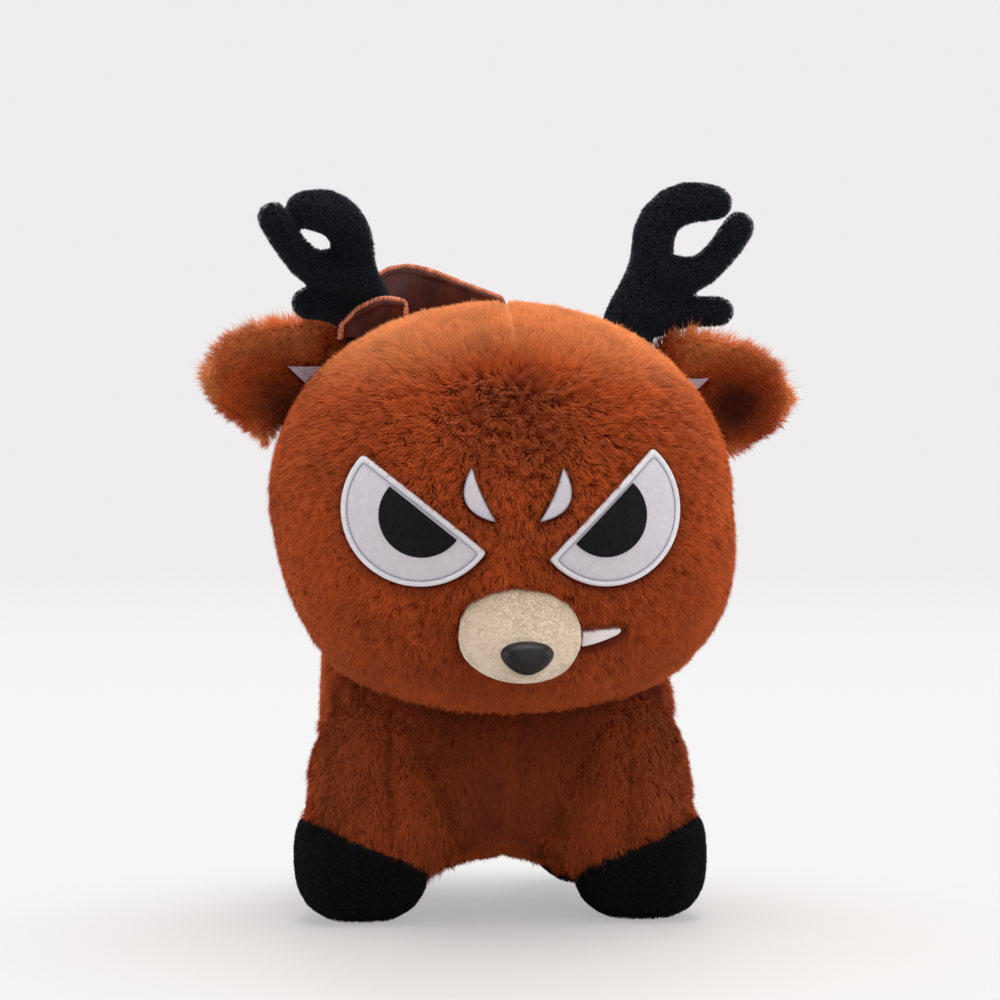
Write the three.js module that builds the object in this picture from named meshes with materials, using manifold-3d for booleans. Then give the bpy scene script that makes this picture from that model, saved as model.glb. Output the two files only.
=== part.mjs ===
// Plush deer that stands on four short legs.
// Millimetres, +Z up. The origin is on the floor, the deer faces -Y and +X is the viewer's right.
// Each stuffed form is one solid, cut by the larger forms that it is sewn to.

import * as THREE from 'three';
import { mergeVertices } from 'three/addons/utils/BufferGeometryUtils.js';
import Module from 'manifold-3d';

const wasm = await Module();
wasm.setup();

// Clearances that all pieces share
const seamGap = 0.3;
const swingGap = 1;
const cutOverrun = 8;

// Head
const headHalfWidth = 87.5;
const headFrontDepth = 75;
const headBackDepth = 70;
const headHeightAbove = 78;
const headHeightBelow = 78.5;
const headCentreY = -43;
const headCentreZ = 154;
const headLean = 4;

// Body
const bodyHalfWidth = 66;
const bodyFrontLength = 58;
const bodyBackLength = 108;
const bodyHeightAbove = 60;
const bodyHeightBelow = 65;
const bodyCentreY = -14;
const bodyCentreZ = 84.5;

// Legs, front and rear pair
const frontLegY = -46;
const rearLegY = 56;
const frontLegSpread = 48;
const rearLegSpread = 40.5;
const legHalfWidth = 27;
const frontLegHalfDepth = 28;
const rearLegHalfDepth = 33;
const legTop = 96;
const legLean = 11;
const legRoot = 6;

// Boots
const frontBootSpread = 52.5;
const rearBootSpread = 46.5;
const bootHalfWidth = 25.5;
const bootToeLength = 31;
const bootHeelLength = 27;
const bootHalfHeight = 24.5;
const bootSoleCut = 0.5;
const bootSeamHeight = 31;
const bootSeamTilt = THREE.MathUtils.degToRad(20);

// Muzzle and nose
const muzzleHalfWidth = 22.8;
const muzzleReach = 29;
const muzzleAbove = 18.5;
const muzzleBelow = 16;
const muzzleCentreZ = 110;
const muzzleShift = 1.2;
const muzzleSink = 6;
const muzzleDroop = 7;
const noseHalfWidth = 9;
const noseHalfHeight = 5.9;
const noseDome = 6.5;
const noseBackDepth = 1.8;
const noseDrop = 7.5;
const shankRadius = 2.4;
const shankRibHeight = 0.4;
const shankLength = 13;
const washerRadius = 8;
const washerThickness = 1.6;
const muzzleCoverThickness = 2.5;

// Eyes: felt discs cut straight on top, with a stitched border and a pupil
const eyeRadius = 27.8;
const eyeSpreadLeft = 34.2;
const eyeSpreadRight = 32.2;
const eyeRise = 0.4;
const eyeChordRise = 2.5;
const eyeBorderWidth = 2.6;
const pupilRadius = 15;
const pupilInward = 0.6;
const pupilDrop = 2.3;
const pupilChordRise = 0.8;
const feltThickness = 1.2;
const borderThickness = 2;
const eyeTiltLeft = THREE.MathUtils.degToRad(39);
const eyeTiltRight = THREE.MathUtils.degToRad(46);

// Brow marks and smirk
const browTopSpread = 16.3;
const browTopRise = 14.3;
const browFootSpread = 8.2;
const browFootDrop = 4.1;
const browBulge = 6.5;
const browHollow = 0.8;
const smirkStart = 25;
const smirkLength = 12.4;
const smirkTip = 1.8;
const smirkHeight = 5;
const smirkLift = 1.2;
const smirkDrop = 49;

// Antlers
const antlerSpreadLeft = 48.2;
const antlerSpreadRight = 52;
const antlerBack = 20;
const antlerStand = 10;
const antlerHeightLeft = 43;
const antlerHeightRight = 49;
const antlerSpan = 43.5;
const antlerRootRadius = 10;
const antlerBeamRadius = 8;
const antlerTineRadius = 5.7;
const antlerTurnLeft = THREE.MathUtils.degToRad(38);
const antlerTurnRight = 0;
const antlerNodLeft = THREE.MathUtils.degToRad(27);
const antlerNodRight = 0;
const middleTineLeftShare = 1.1;
const lowTineLeftShare = 0.9;

// Ears and their linings
const earSeatSpread = 70;
const earSeatRiseLeft = 46;
const earSeatRiseRight = 40;
const earSeatBack = 26;
const earLength = 45;
const earRootWidth = 42;
const earWidth = 49;
const earThickness = 9;
const earCup = 9;
const earRootTilt = THREE.MathUtils.degToRad(28);
const earRiseLeft = THREE.MathUtils.degToRad(6);
const earRiseRight = THREE.MathUtils.degToRad(2);
const earForward = 5;
const earSwingFront = THREE.MathUtils.degToRad(25);
const earSwingBack = THREE.MathUtils.degToRad(20);
const liningThickness = 1;
const liningReach = 11.5;
const liningTuck = 5;
const liningHeight = 15;
const liningRise = 9.5;

// Crown flap: two satin lips, behind and in front of the left antler
const flapThickness = 1.4;
const flapBeadRadius = 1.5;
const rearLipHeight = 30;
const frontLipHeight = 10;
const lipSink = 6;

// Tail
const tailLength = 34;
const tailRadius = 12;
const tailRise = 22;
const tailFlatShare = 0.62;

// Facets
const headSides = 36;
const headRings = 22;
const bodySides = 28;
const bodyRings = 16;
const bootSides = 18;
const bootRings = 11;
const muzzleSides = 22;
const muzzleRings = 11;
const legSides = 20;
const legSteps = 8;
const tineSides = 9;
const tubeStepsPerPoint = 2;
const tailSides = 12;
const earSides = 16;
const earSteps = 9;
const swingSteps = 6;
const shankRibCount = 5;
const lipSteps = 12;
const beadSides = 8;
const roundSides = 24;

// Materials
const paint = {
  brownPlush: new THREE.MeshStandardMaterial({ color: 0xb4602c, roughness: 0.95, metalness: 0 }),
  blackPlush: new THREE.MeshStandardMaterial({ color: 0x17181c, roughness: 0.95, metalness: 0 }),
  creamPlush: new THREE.MeshStandardMaterial({ color: 0xd8c9ad, roughness: 0.9, metalness: 0 }),
  whiteFelt: new THREE.MeshStandardMaterial({ color: 0xd9d8e4, roughness: 0.9, metalness: 0 }),
  whiteThread: new THREE.MeshStandardMaterial({ color: 0xf0eff6, roughness: 0.6, metalness: 0 }),
  blackFelt: new THREE.MeshStandardMaterial({ color: 0x121214, roughness: 0.9, metalness: 0 }),
  lilacFelt: new THREE.MeshStandardMaterial({ color: 0x9c8a9c, roughness: 0.9, metalness: 0 }),
  blackPlastic: new THREE.MeshStandardMaterial({ color: 0x141010, roughness: 0.35, metalness: 0 }),
  washerPlastic: new THREE.MeshStandardMaterial({ color: 0xdcdcd4, roughness: 0.5, metalness: 0 }),
  copperSatin: new THREE.MeshStandardMaterial({ color: 0x8a3f25, roughness: 0.4, metalness: 0 }),
};

const deer = new THREE.Group();
const forward = new THREE.Vector3(0, -1, 0);
const upward = new THREE.Vector3(0, 0, 1);

// Turns the faces of a closed geometry outwards.
function facingOut(geometry) {
  const place = geometry.attributes.position;
  const index = geometry.index.array;
  const corner = [new THREE.Vector3(), new THREE.Vector3(), new THREE.Vector3()];
  let volume = 0;
  for (let i = 0; i < index.length; i += 3) {
    corner.forEach((point, k) => point.fromBufferAttribute(place, index[i + k]));
    volume += corner[0].dot(corner[1].clone().cross(corner[2]));
  }
  if (volume < 0) {
    for (let i = 0; i < index.length; i += 3) {
      const kept = index[i];
      index[i] = index[i + 1];
      index[i + 1] = kept;
    }
  }
  return geometry;
}

function toSolid(geometry) {
  const bare = geometry.clone();
  bare.deleteAttribute('normal');
  bare.deleteAttribute('uv');
  const welded = facingOut(mergeVertices(bare));
  return new wasm.Manifold(new wasm.Mesh({
    numProp: 3,
    vertProperties: Float32Array.from(welded.attributes.position.array),
    triVerts: Uint32Array.from(welded.index.array),
  }));
}

// Cuts between nearly touching faces leave loose slivers, so only the largest body is kept.
function addPiece(name, solid, material) {
  const mesh = solid.decompose()
    .reduce((kept, other) => (other.volume() > kept.volume() ? other : kept))
    .getMesh();
  const geometry = new THREE.BufferGeometry();
  geometry.setAttribute('position', new THREE.BufferAttribute(Float32Array.from(mesh.vertProperties), 3));
  geometry.setIndex(new THREE.BufferAttribute(Uint32Array.from(mesh.triVerts), 1));
  geometry.computeVertexNormals();
  const piece = new THREE.Mesh(geometry, material);
  piece.name = name;
  deer.add(piece);
}

// How far a stuffed form reaches from its centre in one direction. Fullness 2 is an ellipsoid.
function reachOf(form, direction, grow) {
  const halfWidth = form.halfWidth + grow;
  const halfDepth = (direction.y < 0 ? form.front : form.back) + grow;
  const halfHeight = (direction.z < 0 ? form.below : form.above) + grow;
  const upness = THREE.MathUtils.smoothstep(direction.z, -1, 1);
  const fullness = THREE.MathUtils.lerp(form.fullnessBelow, form.fullnessAbove, upness);
  const plan = Math.abs(direction.x / halfWidth) ** form.fullnessPlan
    + Math.abs(direction.y / halfDepth) ** form.fullnessPlan;
  const sum = plan ** (fullness / form.fullnessPlan) + Math.abs(direction.z / halfHeight) ** fullness;
  return sum ** (-1 / fullness);
}

// Stuffing that has settled to one side below the middle of a form.
function settled(form, z) {
  const down = THREE.MathUtils.clamp((form.centre.z - z) / form.below, 0, 1);
  return form.lean * Math.sin(Math.PI * down);
}

function stuffed(form, grow = 0) {
  const ball = new THREE.SphereGeometry(1, form.sides, form.rings);
  ball.rotateX(Math.PI / 2);
  const place = ball.attributes.position;
  for (let i = 0; i < place.count; i += 1) {
    const direction = new THREE.Vector3().fromBufferAttribute(place, i).normalize();
    const point = direction.clone().multiplyScalar(reachOf(form, direction, grow)).add(form.centre);
    place.setXYZ(i, point.x + settled(form, point.z), point.y, point.z);
  }
  return toSolid(ball);
}

const halvings = 40;

// The point where a ray from inside a form leaves its surface.
function surfacePoint(form, start, direction) {
  let inside = 0;
  let outside = 2 * (form.front + form.back + form.halfWidth);
  for (let i = 0; i < halvings; i += 1) {
    const middle = (inside + outside) / 2;
    const point = direction.clone().multiplyScalar(middle).add(start);
    point.x -= settled(form, point.z);
    point.sub(form.centre);
    const reach = reachOf(form, point.clone().normalize(), 0);
    if (point.length() < reach) inside = middle;
    else outside = middle;
  }
  return direction.clone().multiplyScalar(inside).add(start);
}

// Joins closed rings of points into one solid, with a fan on each end.
function loft(rings) {
  const sides = rings[0].length;
  const points = rings.flat();
  const faces = [];
  for (let i = 0; i < rings.length - 1; i += 1) {
    for (let j = 0; j < sides; j += 1) {
      const next = (j + 1) % sides;
      const low = i * sides;
      const high = low + sides;
      faces.push(low + j, low + next, high + next, low + j, high + next, high + j);
    }
  }
  [0, rings.length - 1].forEach((ringIndex) => {
    const ring = rings[ringIndex];
    const middle = ring.reduce((sum, point) => sum.add(point), new THREE.Vector3()).divideScalar(sides);
    const hub = points.push(middle) - 1;
    const first = ringIndex * sides;
    for (let j = 0; j < sides; j += 1) {
      const next = (j + 1) % sides;
      if (ringIndex === 0) faces.push(hub, first + next, first + j);
      else faces.push(hub, first + j, first + next);
    }
  });
  const geometry = new THREE.BufferGeometry();
  const places = points.flatMap((point) => point.toArray());
  geometry.setAttribute('position', new THREE.Float32BufferAttribute(places, 3));
  geometry.setIndex(faces);
  return toSolid(geometry);
}

// Reads a list of [place, value] shares at one place, with straight steps between them.
function shareAt(shares, place) {
  const after = Math.max(1, shares.findIndex(([start]) => start >= place));
  const [fromPlace, fromValue] = shares[after - 1];
  const [toPlace, toValue] = shares[after];
  return THREE.MathUtils.mapLinear(place, fromPlace, toPlace, fromValue, toValue);
}

const tipAngles = [30, 58, 80].map(THREE.MathUtils.degToRad);

// A stuffed tube along a curve, with a round far end. The radii go from its start to its end.
function stuffedTube(points, radii, { sides = tineSides, flatness = 1, steps } = {}) {
  const curve = new THREE.CatmullRomCurve3(points);
  const pathSteps = steps ?? tubeStepsPerPoint * (points.length - 1);
  const length = curve.getLength();
  const tip = radii[radii.length - 1];
  const stations = [];
  for (let i = 0; i <= pathSteps; i += 1) stations.push([(length - tip) * (i / pathSteps), 1]);
  tipAngles.forEach((angle) => stations.push([length - tip + tip * Math.sin(angle), Math.cos(angle)]));
  return loft(stations.map(([distance, rounding]) => {
    const at = Math.min(1, distance / length);
    const along = curve.getTangentAt(at);
    const across = along.clone().cross(forward).normalize();
    const through = across.clone().cross(along).normalize();
    const place = at * (radii.length - 1);
    const index = Math.min(radii.length - 2, Math.floor(place));
    const radius = THREE.MathUtils.lerp(radii[index], radii[index + 1], place - index) * rounding;
    const middle = curve.getPointAt(at);
    return Array.from({ length: sides }, (_, j) => {
      const angle = (2 * Math.PI * j) / sides;
      return middle.clone()
        .addScaledVector(across, radius * Math.cos(angle))
        .addScaledVector(through, radius * flatness * Math.sin(angle));
    });
  }));
}

// A half space as a large block whose chosen face passes through a point.
function halfSpace(point, tilt, upper) {
  const size = 2 * (bodyFrontLength + bodyBackLength);
  const block = new THREE.BoxGeometry(size, size, size);
  block.translate(0, 0, (upper ? size : -size) / 2);
  block.rotateY(tilt);
  block.translate(point.x, point.y, point.z);
  return toSolid(block);
}

const head = {
  centre: new THREE.Vector3(0, headCentreY, headCentreZ),
  halfWidth: headHalfWidth,
  front: headFrontDepth,
  back: headBackDepth,
  above: headHeightAbove,
  below: headHeightBelow,
  lean: headLean,
  fullnessPlan: 2.3,
  fullnessAbove: 2.12,
  fullnessBelow: 2.45,
  sides: headSides,
  rings: headRings,
};

const body = {
  centre: new THREE.Vector3(0, bodyCentreY, bodyCentreZ),
  halfWidth: bodyHalfWidth,
  front: bodyFrontLength,
  back: bodyBackLength,
  above: bodyHeightAbove,
  below: bodyHeightBelow,
  lean: 0,
  fullnessPlan: 3.2,
  fullnessAbove: 2.5,
  fullnessBelow: 2.5,
  sides: bodySides,
  rings: bodyRings,
};

const headSolid = stuffed(head);
const headCutter = stuffed(head, seamGap);
const bodyCutter = stuffed(body, seamGap);

// Legs and boots: one stuffed column each, parted by a sloping seam
const legWidthShares = [[0, 0.93], [0.25, 1], [0.5, 1], [0.75, 0.84], [0.92, 0.52], [1, 0.2]];

function leg(side, spread, y, halfDepth, seam) {
  const rings = [];
  for (let i = 0; i <= legSteps; i += 1) {
    const rise = i / legSteps;
    const share = shareAt(legWidthShares, rise);
    const x = side * (spread - legLean * rise ** 2);
    const z = THREE.MathUtils.lerp(legRoot, legTop, rise);
    rings.push(Array.from({ length: legSides }, (_, j) => {
      const angle = (2 * Math.PI * j) / legSides;
      return new THREE.Vector3(
        x + legHalfWidth * share * Math.cos(angle),
        y + halfDepth * share * Math.sin(angle),
        z,
      );
    }));
  }
  const seat = seam.clone();
  seat.z += seamGap / 2;
  return loft(rings)
    .subtract(bodyCutter)
    .subtract(headCutter)
    .subtract(halfSpace(seat, -side * bootSeamTilt, false));
}

function boot(side, spread, y, seam) {
  const form = {
    centre: new THREE.Vector3(side * spread, y, bootHalfHeight - bootSoleCut),
    halfWidth: bootHalfWidth,
    front: bootToeLength,
    back: bootHeelLength,
    above: bootHalfHeight,
    below: bootHalfHeight,
    lean: 0,
    fullnessPlan: 2.6,
    fullnessAbove: 2.6,
    fullnessBelow: 2.9,
    sides: bootSides,
    rings: bootRings,
  };
  const seat = seam.clone();
  seat.z -= seamGap / 2;
  return stuffed(form)
    .subtract(bodyCutter)
    .subtract(halfSpace(seat, -side * bootSeamTilt, true))
    .subtract(halfSpace(new THREE.Vector3(), 0, false));
}

[['left', -1], ['right', 1]].forEach(([sideName, side]) => {
  [
    ['front', frontLegSpread, frontBootSpread, frontLegY, frontLegHalfDepth],
    ['rear', rearLegSpread, rearBootSpread, rearLegY, rearLegHalfDepth],
  ].forEach(([pairName, legSpread, bootSpread, y, halfDepth]) => {
    const seam = new THREE.Vector3(side * bootSpread, y, bootSeamHeight);
    addPiece(`leg_${pairName}_${sideName}`, leg(side, legSpread, y, halfDepth, seam), paint.brownPlush);
    addPiece(`boot_${pairName}_${sideName}`, boot(side, bootSpread, y, seam), paint.blackPlush);
  });
});

// Head and body
addPiece('head', headSolid, paint.brownPlush);
addPiece('body', stuffed(body).subtract(headCutter), paint.brownPlush);

// Tail: a short stuffed tube sewn to the rump
const tailward = new THREE.Vector3(0, bodyBackLength, tailRise).normalize();
const tailSeat = surfacePoint(body, body.centre, tailward);
const tailPathShares = [[-0.3, -0.25], [0.15, 0.25], [0.42, 0.62], [0.5, 1]];
const tailRadiusShares = [0.75, 0.9, 1, 0.55];
const tailPath = tailPathShares.map(([back, up]) => (
  new THREE.Vector3(0, tailSeat.y + back * tailLength, tailSeat.z + up * tailLength)
));
const tailRadii = tailRadiusShares.map((share) => share * tailRadius);
const tailTube = stuffedTube(tailPath, tailRadii, { sides: tailSides, flatness: tailFlatShare });
addPiece('tail', tailTube.subtract(bodyCutter), paint.brownPlush);

// Muzzle: a dome that droops towards the nose, with a pocket for the nose's shank and washer
const muzzleSeat = surfacePoint(head, new THREE.Vector3(muzzleShift, headCentreY, muzzleCentreZ), forward);
const muzzle = {
  centre: new THREE.Vector3(muzzleShift, muzzleSeat.y + muzzleSink, muzzleCentreZ),
  halfWidth: muzzleHalfWidth,
  front: muzzleReach + muzzleSink,
  back: headFrontDepth / 2,
  above: muzzleAbove,
  below: muzzleBelow,
  lean: 0,
  fullnessPlan: 2.2,
  fullnessAbove: 2.1,
  fullnessBelow: 2.4,
  sides: muzzleSides,
  rings: muzzleRings,
};

function droop(solid) {
  return solid.warp((point) => {
    const out = Math.max(0, (muzzleSeat.y - point[1]) / muzzleReach);
    point[2] -= muzzleDroop * out;
  });
}

const noseZ = muzzleCentreZ - noseDrop;
const noseSeat = surfacePoint(
  muzzle,
  new THREE.Vector3(muzzleShift, muzzle.centre.y, noseZ + muzzleDroop),
  forward,
);

function roundBar(radius, fromY, toY, z) {
  const bar = new THREE.CylinderGeometry(radius, radius, toY - fromY, roundSides);
  bar.translate(muzzleShift, (fromY + toY) / 2, z);
  return toSolid(bar);
}

const washerFront = noseSeat.y + seamGap + noseBackDepth + muzzleCoverThickness;
const washerBack = washerFront + washerThickness;
const shankEnd = noseSeat.y + shankLength;
const shankHoleRadius = shankRadius + shankRibHeight + seamGap;
const shankHole = roundBar(shankHoleRadius, noseSeat.y - cutOverrun, shankEnd + seamGap, noseZ);
const washerPocket = roundBar(washerRadius + seamGap, washerFront - seamGap, washerBack + seamGap, noseZ);
const nosePocketFront = noseSeat.y + seamGap;
const nosePocketBack = nosePocketFront + noseBackDepth;

// Nose: a rounded triangle that swells to a dome, one moulding with its ribbed shank
const noseDomeShares = [[0, 1], [0.3, 0.97], [0.6, 0.82], [0.85, 0.55], [0.97, 0.25]];
const noseTopFlareShare = 0.28;
const noseBackShare = 0.9;
const noseOutline = (y, widthShare) => Array.from({ length: roundSides }, (_, j) => {
  const angle = (2 * Math.PI * j) / roundSides;
  const flare = 1 + noseTopFlareShare * Math.sin(angle);
  return new THREE.Vector3(
    muzzleShift + noseHalfWidth * widthShare * flare * Math.cos(angle),
    y,
    noseZ + noseHalfHeight * widthShare * Math.sin(angle),
  );
});
const noseRings = [
  noseOutline(nosePocketBack, noseBackShare),
  ...noseDomeShares.map(([out, width]) => noseOutline(nosePocketFront - noseDome * out, width)),
];
const ribStartShare = 0.6;
const ribCrestShare = 0.8;
const shankProfile = [new THREE.Vector2(0, 0)];
for (let i = 0; i < shankRibCount; i += 1) {
  const pitch = shankLength / shankRibCount;
  shankProfile.push(new THREE.Vector2(shankRadius, i * pitch));
  shankProfile.push(new THREE.Vector2(shankRadius, (i + ribStartShare) * pitch));
  shankProfile.push(new THREE.Vector2(shankRadius + shankRibHeight, (i + ribCrestShare) * pitch));
}
shankProfile.push(new THREE.Vector2(shankRadius, shankLength));
shankProfile.push(new THREE.Vector2(0, shankLength));
const shank = new THREE.LatheGeometry(shankProfile, roundSides / 2);
shank.translate(muzzleShift, noseSeat.y, noseZ);
const noseSolid = loft(noseRings).add(toSolid(shank));
const noseCutter = loft([nosePocketBack + seamGap, nosePocketFront - noseDome - cutOverrun].map((y) => (
  noseOutline(y, 1).map((point) => {
    const away = new THREE.Vector3(point.x - muzzleShift, 0, point.z - noseZ).normalize();
    return point.addScaledVector(away, seamGap);
  })
)));

const muzzleSolid = droop(stuffed(muzzle))
  .subtract(headCutter)
  .subtract(noseCutter)
  .subtract(shankHole)
  .subtract(washerPocket);
addPiece('muzzle', muzzleSolid, paint.creamPlush);
addPiece('nose', noseSolid, paint.blackPlastic);

const washerHole = roundBar(shankHoleRadius, washerFront - cutOverrun, washerBack + cutOverrun, noseZ);
const washerSolid = roundBar(washerRadius, washerFront, washerBack, noseZ).subtract(washerHole);
addPiece('nose_washer', washerSolid, paint.washerPlastic);

// Face patches: an outline pushed through the front of the head keeps only a thin layer
function facePatch(outline, from, to) {
  const prism = new THREE.ExtrudeGeometry(outline, {
    depth: headFrontDepth + cutOverrun,
    bevelEnabled: false,
    curveSegments: roundSides,
  });
  prism.rotateX(Math.PI / 2);
  prism.translate(0, headCentreY, headCentreZ);
  return toSolid(prism).intersect(stuffed(head, to)).subtract(stuffed(head, from));
}

// A disc with its top cut off along a slanting line, measured from the middle of the head.
function cutDisc(side, x, z, radius, chordRise, tilt) {
  const normalAngle = side < 0 ? Math.PI / 2 - tilt : Math.PI / 2 + tilt;
  const halfOpening = Math.acos(chordRise / radius);
  const outline = new THREE.Shape();
  outline.absarc(x, z, radius, normalAngle + halfOpening, normalAngle - halfOpening + 2 * Math.PI, false);
  outline.closePath();
  return outline;
}

[
  ['left', -1, eyeSpreadLeft, eyeTiltLeft],
  ['right', 1, eyeSpreadRight, eyeTiltRight],
].forEach(([sideName, side, eyeSpread, tilt]) => {
  const eyeX = side * eyeSpread;
  const eyeOutline = (inset) => cutDisc(side, eyeX, eyeRise, eyeRadius - inset, eyeChordRise - inset, tilt);
  const whole = eyeOutline(0);
  const opening = eyeOutline(eyeBorderWidth);
  const felt = eyeOutline(eyeBorderWidth + seamGap);
  const pupilX = side * (eyeSpread - pupilInward);
  const pupil = cutDisc(side, pupilX, eyeRise - pupilDrop, pupilRadius, pupilChordRise, tilt);
  const feltTop = seamGap + feltThickness;
  const pupilFoot = feltTop + seamGap;
  const border = facePatch(whole, seamGap, seamGap + borderThickness)
    .subtract(facePatch(opening, 0, borderThickness + cutOverrun));
  addPiece(`eye_border_${sideName}`, border, paint.whiteThread);
  addPiece(`eye_felt_${sideName}`, facePatch(felt, seamGap, feltTop), paint.whiteFelt);
  addPiece(`pupil_${sideName}`, facePatch(pupil, pupilFoot, pupilFoot + feltThickness), paint.blackFelt);
});

// A crescent between two points, bulging away from the middle of the face.
function crescent(side) {
  const top = new THREE.Vector2(side * browTopSpread, browTopRise);
  const foot = new THREE.Vector2(side * browFootSpread, -browFootDrop);
  const middle = top.clone().add(foot).multiplyScalar(0.5);
  const browRun = browTopSpread - browFootSpread;
  const outward = new THREE.Vector2(side * (browTopRise + browFootDrop), -browRun).normalize();
  const bulge = middle.clone().addScaledVector(outward, 2 * browBulge);
  const hollow = middle.clone().addScaledVector(outward, 2 * browHollow);
  const outline = new THREE.Shape();
  outline.moveTo(top.x, top.y);
  outline.quadraticCurveTo(bulge.x, bulge.y, foot.x, foot.y);
  outline.quadraticCurveTo(hollow.x, hollow.y, top.x, top.y);
  return outline;
}

addPiece('brow_mark_left', facePatch(crescent(-1), seamGap, seamGap + feltThickness), paint.whiteFelt);
addPiece('brow_mark_right', facePatch(crescent(1), seamGap, seamGap + feltThickness), paint.whiteFelt);

// Smirk: a white sliver that rises away from the muzzle
const smirkEnd = smirkStart + smirkLength;
const smirkMiddle = smirkStart + smirkLength / 2;
const smirkFoot = -smirkDrop;
const smirkTop = smirkFoot + smirkHeight;
const smirkOutline = new THREE.Shape();
smirkOutline.moveTo(smirkStart, smirkFoot);
smirkOutline.quadraticCurveTo(smirkMiddle, smirkFoot + smirkLift, smirkEnd, smirkTop + smirkLift - smirkTip);
smirkOutline.quadraticCurveTo(smirkEnd + smirkTip, smirkTop + smirkLift, smirkEnd, smirkTop + smirkLift);
smirkOutline.quadraticCurveTo(smirkMiddle, smirkTop + smirkLift, smirkStart, smirkTop);
smirkOutline.closePath();
addPiece('smirk', facePatch(smirkOutline, seamGap, seamGap + feltThickness), paint.whiteFelt);

// Antlers: a beam that curls outwards and two tines, in shares of the antler's span and height
const beamShares = [
  [-0.06, -0.36],
  [0, 0],
  [0.12, 0.26],
  [0.21, 0.5],
  [0.22, 0.68],
  [0.31, 0.85],
  [0.5, 0.95],
  [0.92, 0.95],
];
const middleTineShares = [[0.2, 0.37], [0.58, 0.38], [0.8, 0.53], [1.06, 0.86]];
const lowTineShares = [[0.1, 0.06], [0.52, 0.09], [0.94, 0.1]];

function antler({ side, spread, height, turn, nod, middleTineShare, lowTineShare }, grow = 0) {
  const plan = new THREE.Vector3(side * spread, headCentreY + antlerBack, headCentreZ);
  const base = surfacePoint(head, plan, upward);
  base.z += antlerStand;
  const place = ([out, up]) => new THREE.Vector3(
    base.x + side * out * antlerSpan * Math.cos(turn),
    base.y - out * antlerSpan * Math.sin(turn) - up * height * Math.sin(nod),
    base.z + up * height * Math.cos(nod),
  );
  const root = antlerRootRadius + grow;
  const beamRadius = antlerBeamRadius + grow;
  const tine = antlerTineRadius + grow;
  const tinePath = (shares, reach) => shares.map(([out, up]) => place([out * reach, up * reach]));
  const beam = stuffedTube(beamShares.map(place), [root, root, beamRadius, beamRadius, beamRadius, tine]);
  const middleTine = stuffedTube(tinePath(middleTineShares, middleTineShare), [root, tine, tine]);
  const lowTine = stuffedTube(tinePath(lowTineShares, lowTineShare), [root, tine, tine]);
  return beam.add(middleTine).add(lowTine).subtract(headCutter);
}

const leftPose = {
  side: -1,
  spread: antlerSpreadLeft,
  height: antlerHeightLeft,
  turn: antlerTurnLeft,
  nod: antlerNodLeft,
  middleTineShare: middleTineLeftShare,
  lowTineShare: lowTineLeftShare,
};
const rightPose = {
  side: 1,
  spread: antlerSpreadRight,
  height: antlerHeightRight,
  turn: antlerTurnRight,
  nod: antlerNodRight,
  middleTineShare: 1,
  lowTineShare: 1,
};
addPiece('antler_left', antler(leftPose), paint.blackPlush);
addPiece('antler_right', antler(rightPose), paint.blackPlush);
const antlerLeftCutter = antler(leftPose, seamGap);

// Ears: cupped leaves, sewn at a pinched root that they fold about
const earWidthShares = [
  [0, 0],
  [0.12, 0.6],
  [0.28, 1],
  [0.5, 0.9],
  [0.72, 0.7],
  [0.88, 0.47],
  [0.96, 0.28],
  [1, 0.1],
];
const earUpperShares = [[0, 1.32], [0.3, 1.2], [0.6, 1.14], [1, 1.1]];
const earLowerShares = [[0, 1], [0.4, 0.9], [1, 0.86]];
const earFullShare = 0.28;
const earTuckShare = 0.12;
const earUntwistShare = 1.5;
const earEdgeFullShare = 4;

function earSeat(side, seatRise) {
  const start = new THREE.Vector3(0, headCentreY + earSeatBack, headCentreZ);
  const outward = new THREE.Vector3(side * earSeatSpread, 0, seatRise).normalize();
  return surfacePoint(head, start, outward);
}

function ear(side, seat, rise) {
  const rings = [];
  for (let i = 0; i <= earSteps; i += 1) {
    const out = THREE.MathUtils.lerp(-earTuckShare, 1, i / earSteps);
    const along = Math.max(0, out);
    const tilt = earRootTilt * (1 - along) ** earUntwistShare;
    const widthShare = shareAt(earWidthShares, along);
    const width = along < earFullShare
      ? THREE.MathUtils.lerp(earRootWidth, earWidth, widthShare)
      : earWidth * widthShare;
    const middle = seat.clone();
    middle.x += side * earLength * out * Math.cos(rise);
    middle.y -= earForward * out;
    middle.z += earLength * out * Math.sin(rise);
    rings.push(Array.from({ length: earSides }, (_, j) => {
      const angle = (2 * Math.PI * j) / earSides;
      const across = Math.cos(angle);
      const edgeShare = shareAt(across > 0 ? earUpperShares : earLowerShares, along);
      const reach = (width / 2) * across * edgeShare;
      const cup = earCup * across * across * (width / earWidth);
      return middle.clone().add(new THREE.Vector3(
        -side * Math.sin(tilt) * reach,
        -cup + (earThickness / 2) * Math.sin(angle) * Math.min(1, earEdgeFullShare * (width / earWidth)),
        Math.cos(tilt) * reach,
      ));
    }));
  }
  return loft(rings);
}

// Takes away all that fixed neighbours would meet while an ear swings about its root.
function clearOfSwing(solid, seat, hinge, neighbours) {
  let cleared = solid;
  for (let i = 0; i <= swingSteps; i += 1) {
    const angle = THREE.MathUtils.lerp(-earSwingFront, earSwingBack, i / swingSteps);
    const turn = new THREE.Matrix4().makeTranslation(seat.x, seat.y, seat.z)
      .multiply(new THREE.Matrix4().makeRotationAxis(hinge, angle))
      .multiply(new THREE.Matrix4().makeTranslation(-seat.x, -seat.y, -seat.z));
    cleared = cleared.subtract(neighbours.transform(turn.toArray()));
  }
  return cleared;
}

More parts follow.
